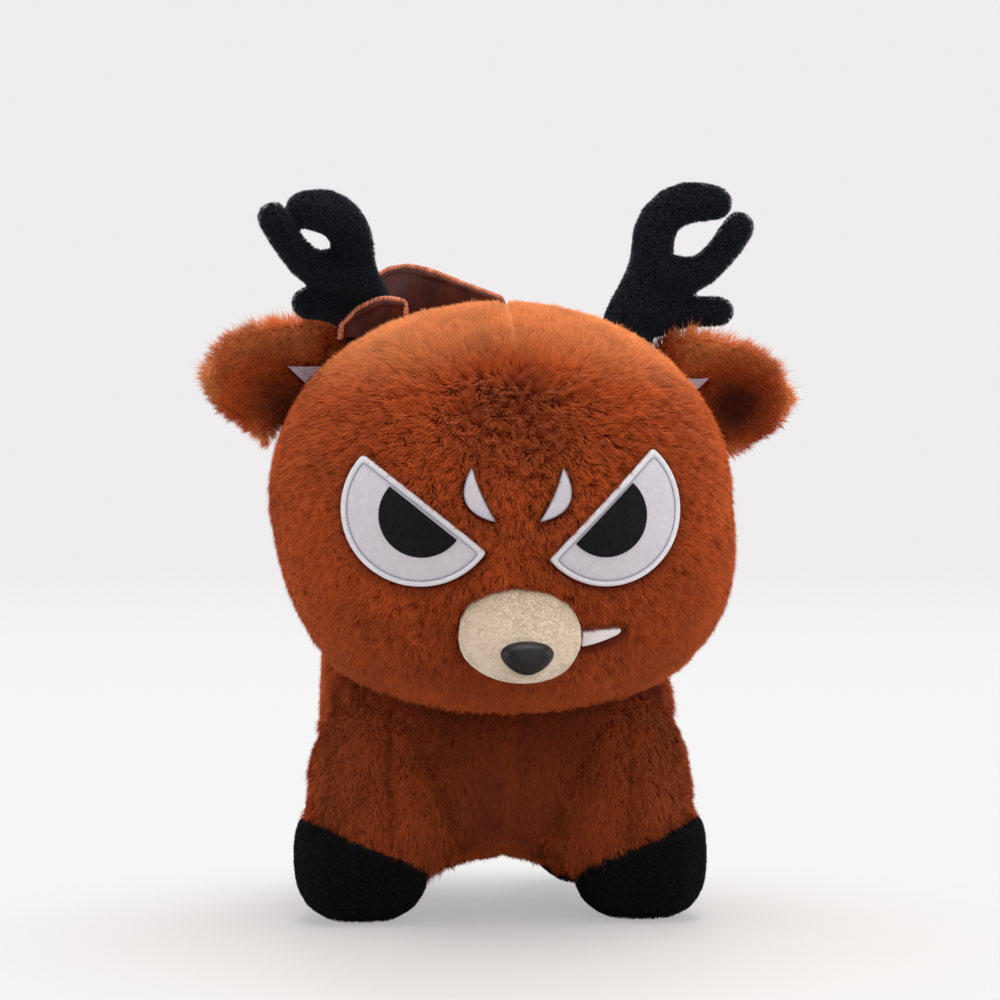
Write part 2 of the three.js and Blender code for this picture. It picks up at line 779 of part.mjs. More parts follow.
// A felt triangle in an ear's hollow. Its inner corners are behind the edge of the head.
function liningPrism(side, seat) {
  const inner = side * seat.x - liningTuck;
  const outline = new THREE.Shape();
  outline.moveTo(inner, liningRise);
  outline.lineTo(side * seat.x + liningReach, liningRise);
  outline.lineTo(inner, liningRise - liningHeight);
  outline.closePath();
  const prism = new THREE.ExtrudeGeometry(outline, { depth: headFrontDepth, bevelEnabled: false });
  prism.rotateX(Math.PI / 2);
  prism.scale(side, 1, 1);
  prism.translate(0, seat.y + earThickness, seat.z);
  return toSolid(prism);
}

[
  ['left', -1, earSeatRiseLeft, earRiseLeft, leftPose],
  ['right', 1, earSeatRiseRight, earRiseRight, rightPose],
].forEach(([sideName, side, seatRise, rise, pose]) => {
  const seat = earSeat(side, seatRise);
  const hinge = new THREE.Vector3(Math.sin(earRootTilt), 0, -side * Math.cos(earRootTilt));
  const whole = ear(side, seat, rise);
  const neighbours = headCutter.add(antler(pose, swingGap));
  const lining = whole.translate([0, -seamGap - liningThickness, 0])
    .subtract(whole.translate([0, -seamGap, 0]))
    .intersect(liningPrism(side, seat));
  addPiece(`ear_${sideName}`, clearOfSwing(whole, seat, hinge, neighbours), paint.brownPlush);
  addPiece(`ear_lining_${sideName}`, clearOfSwing(lining, seat, hinge, neighbours), paint.lilacFelt);
});

// Crown flap lips: thin standing sheets with a rolled edge. Their paths are in shares of the head's
// half sizes, and their tops and feet in shares of the lip's height above the head.
function lip({ pathShares, topShares, footShares, height, leanShare }) {
  const path = new THREE.CatmullRomCurve3(pathShares.map(([x, y]) => (
    new THREE.Vector3(x * headHalfWidth, headCentreY + y * headBackDepth, 0)
  )));
  const rings = [];
  const edge = [];
  for (let i = 0; i <= lipSteps; i += 1) {
    const at = i / lipSteps;
    const plan = path.getPointAt(at);
    const root = surfacePoint(head, new THREE.Vector3(plan.x, plan.y, headCentreZ), upward);
    const up = new THREE.Vector3(0, leanShare, 1).normalize();
    const along = path.getTangentAt(at).setZ(0).normalize();
    const through = along.clone().cross(up).normalize();
    const top = root.clone().addScaledVector(up, height * shareAt(topShares, at));
    const foot = root.clone().addScaledVector(up, height * shareAt(footShares, at) - lipSink);
    const half = flapThickness / 2;
    rings.push([
      foot.clone().addScaledVector(through, -half),
      foot.clone().addScaledVector(through, half),
      top.clone().addScaledVector(through, half),
      top.clone().addScaledVector(through, -half),
    ]);
    edge.push(top);
  }
  const bead = stuffedTube(edge, [flapBeadRadius, flapBeadRadius], { sides: beadSides, steps: lipSteps });
  return loft(rings).add(bead).subtract(headCutter);
}

const rearLip = {
  height: rearLipHeight,
  leanShare: 0.1,
  pathShares: [
    [0.02, 0.06],
    [-0.14, 0.14],
    [-0.32, 0.28],
    [-0.48, 0.45],
    [-0.62, 0.58],
    [-0.74, 0.6],
  ],
  topShares: [
    [0, 0.02],
    [0.2, 0.24],
    [0.4, 0.58],
    [0.6, 0.9],
    [0.75, 1],
    [0.88, 0.95],
    [1, 0.4],
  ],
  footShares: [[0, 0], [1, 0]],
};
const frontLip = {
  height: frontLipHeight,
  leanShare: -0.2,
  pathShares: [[-0.4, 0.1], [-0.52, 0.08], [-0.62, 0.1], [-0.69, 0.16]],
  topShares: [[0, 0.5], [0.35, 1], [0.7, 1.1], [1, 1.15]],
  footShares: [[0, 0], [0.45, 0], [0.75, 0.85], [1, 1.2]],
};
addPiece('crown_flap_rear', lip(rearLip).subtract(antlerLeftCutter), paint.copperSatin);
addPiece('crown_flap_front', lip(frontLip).subtract(antlerLeftCutter), paint.copperSatin);

// The origin is the middle of the floor area that the deer covers
const bounds = new THREE.Box3().setFromObject(deer);
const middle = bounds.getCenter(new THREE.Vector3());
deer.position.set(-middle.x, -middle.y, -bounds.min.z);
const toy = new THREE.Group();
toy.add(deer);

export default toy;
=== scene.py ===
"""Looks for the plush deer: pile, felt, stitches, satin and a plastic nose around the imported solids.

All lengths are in metres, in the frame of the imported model. The pile is made of thin mesh strands,
rooted on a backing that lies inside each stuffed form by the pile's depth.
"""

import math
from dataclasses import dataclass, replace
from types import SimpleNamespace

import bpy
import numpy as np
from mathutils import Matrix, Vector, noise
from mathutils.bvhtree import BVHTree
from mathutils.kdtree import KDTree


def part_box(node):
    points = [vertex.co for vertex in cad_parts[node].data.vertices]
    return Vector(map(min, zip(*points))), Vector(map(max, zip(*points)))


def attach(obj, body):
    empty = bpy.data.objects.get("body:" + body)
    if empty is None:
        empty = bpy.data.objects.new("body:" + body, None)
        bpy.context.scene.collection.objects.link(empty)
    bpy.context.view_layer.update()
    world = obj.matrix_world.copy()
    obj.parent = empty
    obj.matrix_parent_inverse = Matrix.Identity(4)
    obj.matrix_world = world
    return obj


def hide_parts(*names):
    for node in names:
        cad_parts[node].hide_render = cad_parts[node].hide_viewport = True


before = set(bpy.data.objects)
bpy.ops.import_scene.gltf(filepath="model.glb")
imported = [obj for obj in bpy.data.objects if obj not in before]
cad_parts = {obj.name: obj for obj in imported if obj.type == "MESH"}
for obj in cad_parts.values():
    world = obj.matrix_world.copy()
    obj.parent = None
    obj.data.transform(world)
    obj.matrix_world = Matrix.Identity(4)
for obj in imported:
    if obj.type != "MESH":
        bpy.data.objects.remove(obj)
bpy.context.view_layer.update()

MM = 0.001
SEED = 11
BODY = "stuffed_body"
EAR_BODIES = {"left": "left_ear", "right": "right_ear"}
SIDES = {"left": -1, "right": 1}
SPOTS = [f"{pair}_{side}" for pair in ("front", "rear") for side in SIDES]
LEG_NODES = [f"leg_{spot}" for spot in SPOTS]
# A trial run grows only this share of the pile
PILE_SHARE = 1.0

# Camera, from the photograph's view
CAMERA_YAW = math.radians(5)
CAMERA_DISTANCE = 1150 * MM
CAMERA_AIM = Vector((2.2, 16.3, 157.4)) * MM
CAMERA_LENS_MM = 105.05
SENSOR_WIDTH_MM = 36

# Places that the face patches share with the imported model
FACE_MIDDLE_X = -1.68 * MM
FACE_MIDDLE_Z = 154 * MM
FACE_FRONT_Y = -250 * MM

# Eye patches
EYE_RADIUS = 27.8 * MM
EYE_SPREAD = {"left": 34.2 * MM, "right": 32.2 * MM}
EYE_RISE = 0.4 * MM
EYE_CHORD = 2.5 * MM
EYE_TILT = {"left": math.radians(39), "right": math.radians(46)}
EYE_BORDER = 2.0 * MM
EYE_CORNER = 0.9 * MM
FELT_TOP = 0.65 * MM
FELT_THICKNESS = 1.1 * MM
FELT_CROWN = 0.35 * MM
# Where the white felt ends under the border, as a share of the border's width
FELT_UNDER_BORDER = 0.93
PATCH_EDGE = 0.45 * MM
STITCH_PITCH = 0.42 * MM
STITCH_RELIEF = 0.16 * MM
STITCH_STEPS_EACH = 4
PUPIL_RADIUS = 15 * MM
PUPIL_INWARD = 0.6 * MM
PUPIL_DROP = 2.3 * MM
PUPIL_CHORD = 0.8 * MM
PUPIL_TOP = 1.45 * MM
PUPIL_CROWN = 0.2 * MM
LINE_RADIUS = 0.2 * MM
LINE_INSET = 2.3 * MM
EYE_BORDER_FOOT = -3.4 * MM
EYE_BORDER_EDGE = 0.35 * MM
EYE_BORDER_CREST = 0.95 * MM
# The stitched border's section: a share of its width, and a height on the head
EYE_BORDER_SECTION = [
    (0.06, EYE_BORDER_FOOT),
    (0.0, EYE_BORDER_EDGE * 0.3),
    (0.04, EYE_BORDER_EDGE),
    (0.16, EYE_BORDER_CREST * 0.82),
    (0.34, EYE_BORDER_CREST),
    (0.56, EYE_BORDER_CREST),
    (0.78, EYE_BORDER_CREST * 0.9),
    (0.94, FELT_TOP * 1.1),
    (1.0, FELT_TOP * 0.6),
    (0.9, FELT_TOP - FELT_THICKNESS),
]

# Brow marks and smirk
BROW_TOP = Vector((16.3, 14.3)) * MM
BROW_FOOT = Vector((8.2, -4.1)) * MM
BROW_BULGE = 6.5 * MM
BROW_HOLLOW = 0.8 * MM
BROW_LINE_RADIUS = 0.28 * MM
BROW_LINE_DROP = 0.25 * MM
SMIRK_START = 24.2 * MM
SMIRK_LENGTH = 13.2 * MM
SMIRK_TIP = 1.8 * MM
SMIRK_HEIGHT = 5 * MM
SMIRK_LIFT = 1.2 * MM
SMIRK_DROP = 49 * MM
MARK_THICKNESS = 3 * MM

# Nose
NOSE_HALF_WIDTH = 9 * MM
NOSE_HALF_HEIGHT = 5.9 * MM
NOSE_FLARE = 0.28
NOSE_DOME = 6.5 * MM
NOSE_BACK = 1.8 * MM
SHANK_RADIUS = 2.4 * MM
SHANK_RIB = 0.4 * MM
SHANK_LENGTH = 13 * MM
SHANK_RIBS = 5

# The washer inside the muzzle, and the cloth over its lower edge
WASHER_THICKNESS = 1.6 * MM
WASHER_COVER = 0.5 * MM

# Thin cloth. A flap's flat size comes with the share that is left of it after its curved cut
HEM_RADIUS = 1.1 * MM
HEM_DROP = 6 * MM
HEM_STEP = 0.5 * MM
HEM_SMOOTHING = 12
HEM_THREAD_RADIUS = 0.18 * MM
HEM_THREAD_PITCH = 1.7 * MM
FLAPS = {"rear": ((88 * MM, 30 * MM), 0.5), "front": ((32 * MM, 14 * MM), 0.7)}

# Seams that part the pile
CROWN_SEAM_X = -0.4 * MM
CROWN_SEAM_FOOT = 208 * MM
CHEST_SEAM_X = 1.0 * MM
LEG_SEAM_X = {"left": -45 * MM, "right": 44 * MM}
SEAM_WIDTH = 1.1 * MM

# Slow lumps of the stuffing under the cloth
LUMP_PITCH = 26 * MM

# Painted light and shade on the brown pile: painted light over the crown, and painted shade that darkens it
# above the brow, beside patches and low down, and on the chest and the front of the legs
CROWN_FOOT = 190 * MM
CROWN_TOP = 218 * MM
CROWN_LIGHT = 0.55
BROW_SHADE_Z = 192 * MM
BROW_SHADE_REACH = 22 * MM
BROW_SHADE = 0.38
PATCH_SHADE = 0.35
LOW_FACE_Z = 95 * MM
LOW_FACE_HEIGHT = 40 * MM
LOW_SHADE = 0.3
CHEST_SHADE = 0.65
LEG_SHADE = 0.42
# The pile stands up, grows longer and leans over the muzzle's upper edge
MUZZLE_FRINGE_RISE = math.radians(8)
MUZZLE_FRINGE_FALL = math.radians(50)
MUZZLE_FRINGE_GROWTH = 0.9
# The pile lies away from this height on the middle of the face
WHORL_Z = 197 * MM
WHORL_WIDTH = 60 * MM
WHORL_HEIGHT = 30 * MM
WHORL_CALM = 0.85
WHORL_REACH = 28 * MM
# Below the crown the pile on the face stands up, and turns this way and that
FACE_TOP_Z = 204 * MM
FACE_RISE_CHANGE = -0.1
FACE_FALL_CHANGE = -0.28
FACE_TURN = 1.7
TURN_PITCH = 3.5 * MM
# The deepest place of each ear's hollow, as x and z, and how dark the painted shade makes its pile there
EAR_HOLLOWS = {"left": (Vector((-83, 195)) * MM, 1.0), "right": (Vector((91, 194)) * MM, 1.3)}
EAR_HOLLOW_REACH = 14 * MM
# How far an ear's pile is ruffled along its rim, and how far it all lies backwards
EAR_TURN = 1.2
EAR_BACKWARDS = 0.7

# Each piece of pile stays under this many strands
MOST_STRANDS = 95000
# Strands that end up below this share of the pile's length are left out
SHORTEST_STRAND = 0.25
# How deep a strand's root goes into the backing
ROOT_DEPTH = 0.3 * MM
# A comb that is weaker than this leaves the pile to lie as it happens to
FIRM_COMB = 0.5
# Clumps swirl by wide and by narrow waves
WIDE_SWIRL = 9 * MM
NARROW_SWIRL = 4 * MM
# A clump's own lean, as a share of its pile's fall
CLUMP_LEAN = 0.7
# A strand's middle takes this share of its tip's pull towards the clump
MIDDLE_PULL = 0.35
# How much single strands differ in their length, their two angles and their turn
LENGTH_SPREAD = 0.12
RISE_SPREAD = 0.12
FALL_SPREAD = 0.14
TURN_SPREAD = 0.3


def smooth_step(values, low, high):
    share = np.clip((values - low) / (high - low), 0, 1)
    return share * share * (3 - 2 * share)


def unit(vectors):
    return vectors / np.maximum(np.linalg.norm(vectors, axis=-1, keepdims=True), 1e-12)


def across(vectors, normals):
    """The part of each vector that lies along the surface."""
    return vectors - (vectors * normals).sum(-1, keepdims=True) * normals


def placed(name, data):
    """A new object in the scene."""
    piece = bpy.data.objects.new(name, data)
    bpy.context.scene.collection.objects.link(piece)
    return piece


def declared(piece, body, node=None):
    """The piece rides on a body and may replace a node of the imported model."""
    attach(piece, body)
    if node:
        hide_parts(node)
    return piece


def dressed(name, mesh, material):
    """The mesh as a smooth object in one material."""
    mesh.name = name
    mesh.shade_smooth()
    mesh.materials.clear()
    mesh.materials.append(material)
    return placed(name, mesh)


def new_mesh(name, points, faces):
    """A mesh from points and lists of corners."""
    mesh = bpy.data.meshes.new(name)
    mesh.from_pydata([tuple(point) for point in points], [], [tuple(face) for face in faces])
    mesh.validate()
    return mesh


def built(name, rows, faces, material, node=None):
    """A piece of the stuffed body, made of rows of points."""
    mesh = new_mesh(name, np.concatenate(rows), faces)
    return declared(dressed(name, mesh, material), BODY, node)


def rows_of(items, field, width, kind=np.int32):
    """One field of a mesh's items, in rows."""
    values = np.empty(len(items) * width, kind)
    items.foreach_get(field, values)
    return values.reshape(-1, width)


def mesh_points(mesh):
    return rows_of(mesh.vertices, "co", 3, float)


def mesh_triangles(mesh):
    mesh.calc_loop_triangles()
    return rows_of(mesh.loop_triangles, "vertices", 3)


def vertex_normals(points, triangles):
    a, b, c = (points[triangles[:, i]] for i in range(3))
    face_normals = np.cross(b - a, c - a)
    totals = np.zeros_like(points)
    for corner in range(3):
        for axis in range(3):
            totals[:, axis] += np.bincount(triangles[:, corner], face_normals[:, axis], len(points))
    return unit(totals)


def relaxed(points, edges, rounds):
    """Points moved towards the middle of their neighbours, a few times."""
    counts = np.bincount(edges.ravel(), minlength=len(points))[:, None]
    for _ in range(rounds):
        totals = np.zeros_like(points)
        for axis in range(3):
            for near, far in ((0, 1), (1, 0)):
                totals[:, axis] += np.bincount(edges[:, near], points[edges[:, far], axis], len(points))
        points = (points + totals / counts) / 2
    return points


class Surface:
    """Triangles that can be asked for their nearest point or for what a ray along +Y meets."""

    def __init__(self, points, triangles):
        self.points = points
        self.triangles = triangles
        self.normals = vertex_normals(points, triangles)
        self.tree = BVHTree.FromPolygons(points.tolist(), triangles.tolist())

    def normal_at(self, index, place):
        corners = self.triangles[index]
        spans = np.linalg.norm(self.points[corners] - np.array(place), axis=1)
        weights = 1 / np.maximum(spans, 1e-9)
        return unit((self.normals[corners] * weights[:, None]).sum(0))

    def nearest(self, places):
        """Nearest points, outward normals there and distances."""
        found = [self.tree.find_nearest(place) for place in places.tolist()]
        points = np.array([hit[0] for hit in found])
        normals = np.array([hit[1] for hit in found])
        return points, normals, np.array([hit[3] for hit in found])

    def from_front(self, x, z):
        """The point and smooth normal that a ray towards +Y meets."""
        hit, _, index, _ = self.tree.ray_cast((x, FACE_FRONT_Y, z), (0, 1, 0))
        return np.array(hit), self.normal_at(index, hit)


def joined_surface(nodes):
    points = []
    triangles = []
    for node in nodes:
        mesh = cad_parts[node].data
        triangles.append(mesh_triangles(mesh) + sum(len(part) for part in points))
        points.append(mesh_points(mesh))
    return np.concatenate(points), np.concatenate(triangles)


def node_surface(*nodes):
    return Surface(*joined_surface(nodes))


def even_form(nodes, voxel, rounds):
    """One mesh round the given nodes, made of small even faces, and its points after smoothing."""
    source = placed("even_source", new_mesh("even_source", *joined_surface(nodes)))
    remesh = source.modifiers.new("even", "REMESH")
    remesh.mode = "VOXEL"
    remesh.voxel_size = voxel
    graph = bpy.context.evaluated_depsgraph_get()
    mesh = bpy.data.meshes.new_from_object(source.evaluated_get(graph))
    bpy.data.meshes.remove(source.data)
    return mesh, relaxed(mesh_points(mesh), rows_of(mesh.edges, "vertices", 2), rounds)


def smooth_noise(points, pitch, seed):
    """Soft noise between about -1 and 1, with bumps of this pitch."""
    shift = Vector((seed * 7.3, seed * 3.1, seed * 5.7))
    return np.array([noise.noise(Vector(point) / pitch + shift) for point in points.tolist()])


def smooth_noise_vectors(points, pitch, seed):
    return np.stack([smooth_noise(points, pitch, seed + 100 * axis) for axis in (1, 2, 3)], 1)


# Materials


def linear(colour):
    """A colour written as on a screen, 0 to 255, as Blender's linear values."""
    shares = [value / 255 for value in colour]
    return (*(s / 12.92 if s <= 0.04045 else ((s + 0.055) / 1.055) ** 2.4 for s in shares), 1.0)


def grey(value):
    return (value, value, value, 1.0)


def add_node(tree, kind, inputs=None, **settings):
    """A new shader node. Each input is a value or another node's output."""
    node = tree.nodes.new("ShaderNode" + kind)
    for label, value in settings.items():
        setattr(node, label, value)
    for label, value in (inputs or {}).items():
        if isinstance(value, bpy.types.NodeSocket):
            tree.links.new(value, node.inputs[label])
        else:
            node.inputs[label].default_value = value
    return node


class Nodes:
    """A small helper that adds and joins the nodes of one material."""

    def __init__(self, name, **settings):
        self.material = bpy.data.materials.new(name)
        self.material.use_nodes = True
        self.tree = self.material.node_tree
        self.shader = self.tree.nodes["Principled BSDF"]
        for label, value in settings.items():
            self.shader.inputs[label.replace("_", " ")].default_value = value
        self.place = self.add("TexCoord").outputs["Object"]

    def add(self, kind, inputs=None, **settings):
        return add_node(self.tree, kind, inputs, **settings)

    def feed(self, label, output):
        self.tree.links.new(output, self.shader.inputs[label])

    def noise(self, scale, detail=2.0, roughness=0.5, stretch=(1, 1, 1)):
        """Noise, drawn out along an axis whose stretch is below 1."""
        place = self.add("VectorMath", {0: self.place, 1: stretch}, operation="MULTIPLY").outputs["Vector"]
        inputs = {"Vector": place, "Scale": scale, "Detail": detail, "Roughness": roughness}
        return self.add("TexNoise", inputs).outputs["Fac"]

    def waves(self, scale, distortion):
        inputs = {"Vector": self.place, "Scale": scale, "Distortion": distortion}
        return self.add("TexWave", inputs).outputs["Fac"]

    def part(self, value, low, high, **settings):
        """How far a value has gone from low to high, within 0 and 1."""
        inputs = {"Value": value, "From Min": low, "From Max": high}
        return self.add("MapRange", inputs, **settings).outputs[0]

    def attribute(self, label):
        return self.add("Attribute", attribute_name=label).outputs["Fac"]

    def ramp(self, value, stops):
        node = self.add("ValToRGB", {"Fac": value})
        elements = node.color_ramp.elements
        for index, (place, colour) in enumerate(stops):
            stop = elements[index] if index < 2 else elements.new(place)
            stop.position = place
            stop.color = colour
        return node.outputs["Color"]

    def mix(self, share, first, second, blend="MIX"):
        """Two colours mixed. A mix node has its colours at inputs 6 and 7."""
        inputs = {0: share, 6: first, 7: second}
        return self.add("Mix", inputs, data_type="RGBA", blend_type=blend).outputs[2]

    def bump(self, height, distance, strength):
        inputs = {"Height": height, "Distance": distance, "Strength": strength}
        self.feed("Normal", self.add("Bump", inputs).outputs["Normal"])

    def roughness(self, value, low, high):
        inputs = {"Value": value, "To Min": low, "To Max": high}
        self.feed("Roughness", self.add("MapRange", inputs).outputs[0])

    def mottled(self, value, low, high, dark, light):
        """The base colour goes from dark to light while the value goes from low to high."""
        self.feed("Base Color", self.ramp(value, [(low, linear(dark)), (high, linear(light))]))
        return self.material


def pile_material(name, root, middle, tip, dark, pale, sheen, glow, spread=0.2, gloss=0.2):
    """Strands that are dark at the root, as painted shade deep in the pile, and lighter at the tip, with a
    tone of their own.

    The painted light and shade of a strand goes from -1, for the dark colour of painted shade, to 1, for the
    pale colour of painted light; seams are drawn with it too.
    """
    nodes = Nodes(
        name, Specular_IOR_Level=gloss, Sheen_Weight=sheen, Sheen_Roughness=0.5, Sheen_Tint=linear(glow)
    )
    along = nodes.attribute("along")
    tone = nodes.attribute("tone")
    # The ramp from root to tip is painted shade: the roots are darker where the pile shades them
    body = nodes.ramp(along, [(0.0, linear(root)), (1.0, linear(tip)), (0.5, linear(middle))])
    # Painted light mixes towards the pale colour, and painted shade towards the dark one
    painted_light_and_seams = nodes.attribute("painted_light_and_seams")
    body = nodes.mix(nodes.part(painted_light_and_seams, 0, 1), body, linear(pale))
    body = nodes.mix(nodes.part(painted_light_and_seams, 0, -1), body, linear(dark))
    shade = nodes.ramp(tone, [(0.0, grey(1 - spread)), (1.0, grey(1 + spread))])
    body = nodes.mix(1.0, body, shade, "MULTIPLY")
    drift_stops = [(0.32, grey(1 - 0.8 * spread)), (0.68, grey(1 + 0.8 * spread))]
    drift = nodes.ramp(nodes.noise(60, 4, 0.6), drift_stops)
    nodes.feed("Base Color", nodes.mix(1.0, body, drift, "MULTIPLY"))
    nodes.roughness(tone, 0.6, 0.85)
    return nodes.material


def backing_material(name, dark, light):
    """The knitted backing between the roots."""
    nodes = Nodes(name, Specular_IOR_Level=0.1)
    grain = nodes.noise(900, 3, 0.7)
    nodes.bump(grain, 0.4 * MM, 0.8)
    nodes.roughness(grain, 0.8, 1.0)
    return nodes.mottled(nodes.noise(160, 4), 0.3, 0.7, dark, light)


def felt_material(name, dark, light, sheen=0.15):
    """Pressed fibres: a fine mottle with short hairs in the bump."""
    nodes = Nodes(name, Specular_IOR_Level=0.15, Sheen_Weight=sheen)
    fibres = nodes.noise(2200, 4, 0.75)
    nodes.bump(fibres, 0.18 * MM, 0.7)
    nodes.roughness(fibres, 0.8, 0.98)
    return nodes.mottled(nodes.noise(420, 4, 0.7), 0.32, 0.68, dark, light)


def thread_material(name, dark, light, gloss=0.42):
    """Glossy twisted thread."""
    nodes = Nodes(name, Specular_IOR_Level=0.4, Sheen_Weight=0.2)
    twist = nodes.waves(900, 3)
    nodes.bump(twist, 0.05 * MM, 0.5)
    nodes.roughness(twist, gloss, gloss + 0.25)
    return nodes.mottled(nodes.noise(1500, 2), 0.3, 0.7, dark, light)


def satin_material(name, dark, light, gloss=0.3):
    """Fine woven satin with soft streaks of gloss and tiny slubs; its colour goes darker and lighter along
    the creases, as painted shade and highlight of the folds.
    """
    nodes = Nodes(name, Specular_IOR_Level=gloss)
    weave = nodes.noise(2600, 2, 0.6)
    creases = nodes.noise(300, 4, 0.65, stretch=(1, 1, 0.2))
    nodes.bump(nodes.mix(0.6, weave, creases), 0.5 * MM, 0.8)
    nodes.roughness(creases, 0.36, 0.66)
    return nodes.mottled(creases, 0.38, 0.64, dark, light)


def plastic_material(name, dark, light, gloss):
    nodes = Nodes(name, Specular_IOR_Level=0.32)
    haze = nodes.noise(700, 4, 0.7)
    nodes.bump(haze, 0.02 * MM, 0.4)
    nodes.roughness(haze, gloss, gloss + 0.16)
    return nodes.mottled(nodes.noise(90, 3), 0.35, 0.65, dark, light)


brown_pile = pile_material(
    "brown_pile",
    root=(122, 38, 13),
    middle=(174, 68, 26),
    tip=(210, 99, 42),
    dark=(74, 18, 8),
    pale=(242, 160, 98),
    sheen=0.3,
    glow=(250, 160, 100),
)
black_pile = pile_material(
    "black_pile",
    root=(6, 6, 7),
    middle=(13, 12, 14),
    tip=(24, 24, 28),
    dark=(5, 5, 6),
    pale=(60, 62, 70),
    sheen=0.04,
    glow=(220, 225, 240),
    spread=0.06,
    gloss=0.06,
)
antler_pile = pile_material(
    "antler_pile",
    root=(9, 10, 13),
    middle=(20, 23, 29),
    tip=(38, 43, 52),
    dark=(6, 6, 8),
    pale=(70, 76, 88),
    sheen=0.1,
    glow=(190, 200, 240),
    spread=0.08,
    gloss=0.1,
)
cream_pile = pile_material(
    "cream_pile",
    root=(230, 212, 190),
    middle=(234, 218, 198),
    tip=(238, 223, 205),
    dark=(190, 170, 145),
    pale=(250, 242, 229),
    sheen=0.1,
    glow=(255, 240, 225),
    spread=0.03,
)
brown_backing = backing_material("brown_backing", (108, 33, 11), (134, 46, 17))
black_backing = backing_material("black_backing", (7, 7, 8), (13, 13, 15))
cream_backing = backing_material("cream_backing", (228, 211, 190), (236, 220, 201))
white_felt = felt_material("white_felt", (198, 194, 202), (209, 205, 213))
bright_felt = felt_material("bright_felt", (228, 220, 223), (238, 231, 234))
black_felt = felt_material("black_felt", (13, 13, 14), (24, 23, 25), sheen=0.02)
lilac_felt = felt_material("lilac_felt", (150, 130, 142), (186, 168, 178))
white_thread = thread_material("white_thread", (212, 210, 217), (230, 228, 234))
grey_thread = thread_material("grey_thread", (134, 140, 156), (164, 168, 182))
# Shaded and lit copies of one copper satin: the lips are their own dark copper with painted shade on top,
# and the hem is lighter as painted light along the top edge
copper_satin = satin_material("copper_satin", (62, 20, 12), (92, 34, 20), gloss=0.25)
copper_hem = satin_material("copper_hem", (136, 60, 38), (222, 130, 94))
copper_thread = thread_material("copper_thread", (200, 116, 82), (240, 170, 134), gloss=0.5)
nose_plastic = plastic_material("nose_plastic", (13, 9, 9), (22, 17, 16), 0.42)
washer_plastic = plastic_material("washer_plastic", (206, 206, 196), (224, 224, 214), 0.45)

# Kinds of pile


@dataclass(frozen=True)
class Pile:
    """What a pile is made of. Density is in strands for each square millimetre."""

    material: bpy.types.Material
    backing: bpy.types.Material
    slot: str
    length: float
    width: float
    density: float
    depth: float
    rise: float
    fall: float
    clump: float
    pull: float
    swirl: float
    stray: float


BROWN_PILE = Pile(
    material=brown_pile,
    backing=brown_backing,
    slot="brown_plush",
    length=5.4 * MM,
    width=0.28 * MM,
    density=6.4,
    depth=3.0 * MM,
    rise=math.radians(26),
    fall=math.radians(60),
    clump=2.0 * MM,
    pull=0.2,
    swirl=0.3,
    stray=0.45,
)
EAR_PILE = replace(
    BROWN_PILE, length=6.0 * MM, width=0.22 * MM, density=8.5, depth=2.4 * MM, pull=0.06, stray=0.6
)
BLACK_PILE = Pile(
    material=black_pile,
    backing=black_backing,
    slot="black_plush",
    length=1.7 * MM,
    width=0.22 * MM,
    density=8.0,
    depth=0.8 * MM,
    rise=math.radians(22),
    fall=math.radians(66),
    clump=1.2 * MM,
    pull=0.15,
    swirl=0.4,
    stray=0.35,
)
ANTLER_PILE = replace(
    BLACK_PILE,
    material=antler_pile,
    length=1.9 * MM,
    width=0.18 * MM,
    density=9.0,
    depth=0.45 * MM,
    fall=math.radians(56),
    stray=0.6,
)
CREAM_PILE = Pile(
    material=cream_pile,
    backing=cream_backing,
    slot="cream_plush",
    length=0.8 * MM,
    width=0.1 * MM,
    density=20,
    depth=0.4 * MM,
    rise=math.radians(40),
    fall=math.radians(75),
    clump=0.8 * MM,
    pull=0.05,
    swirl=0.3,
    stray=0.6,
)

# Stuffed forms: a backing for each node


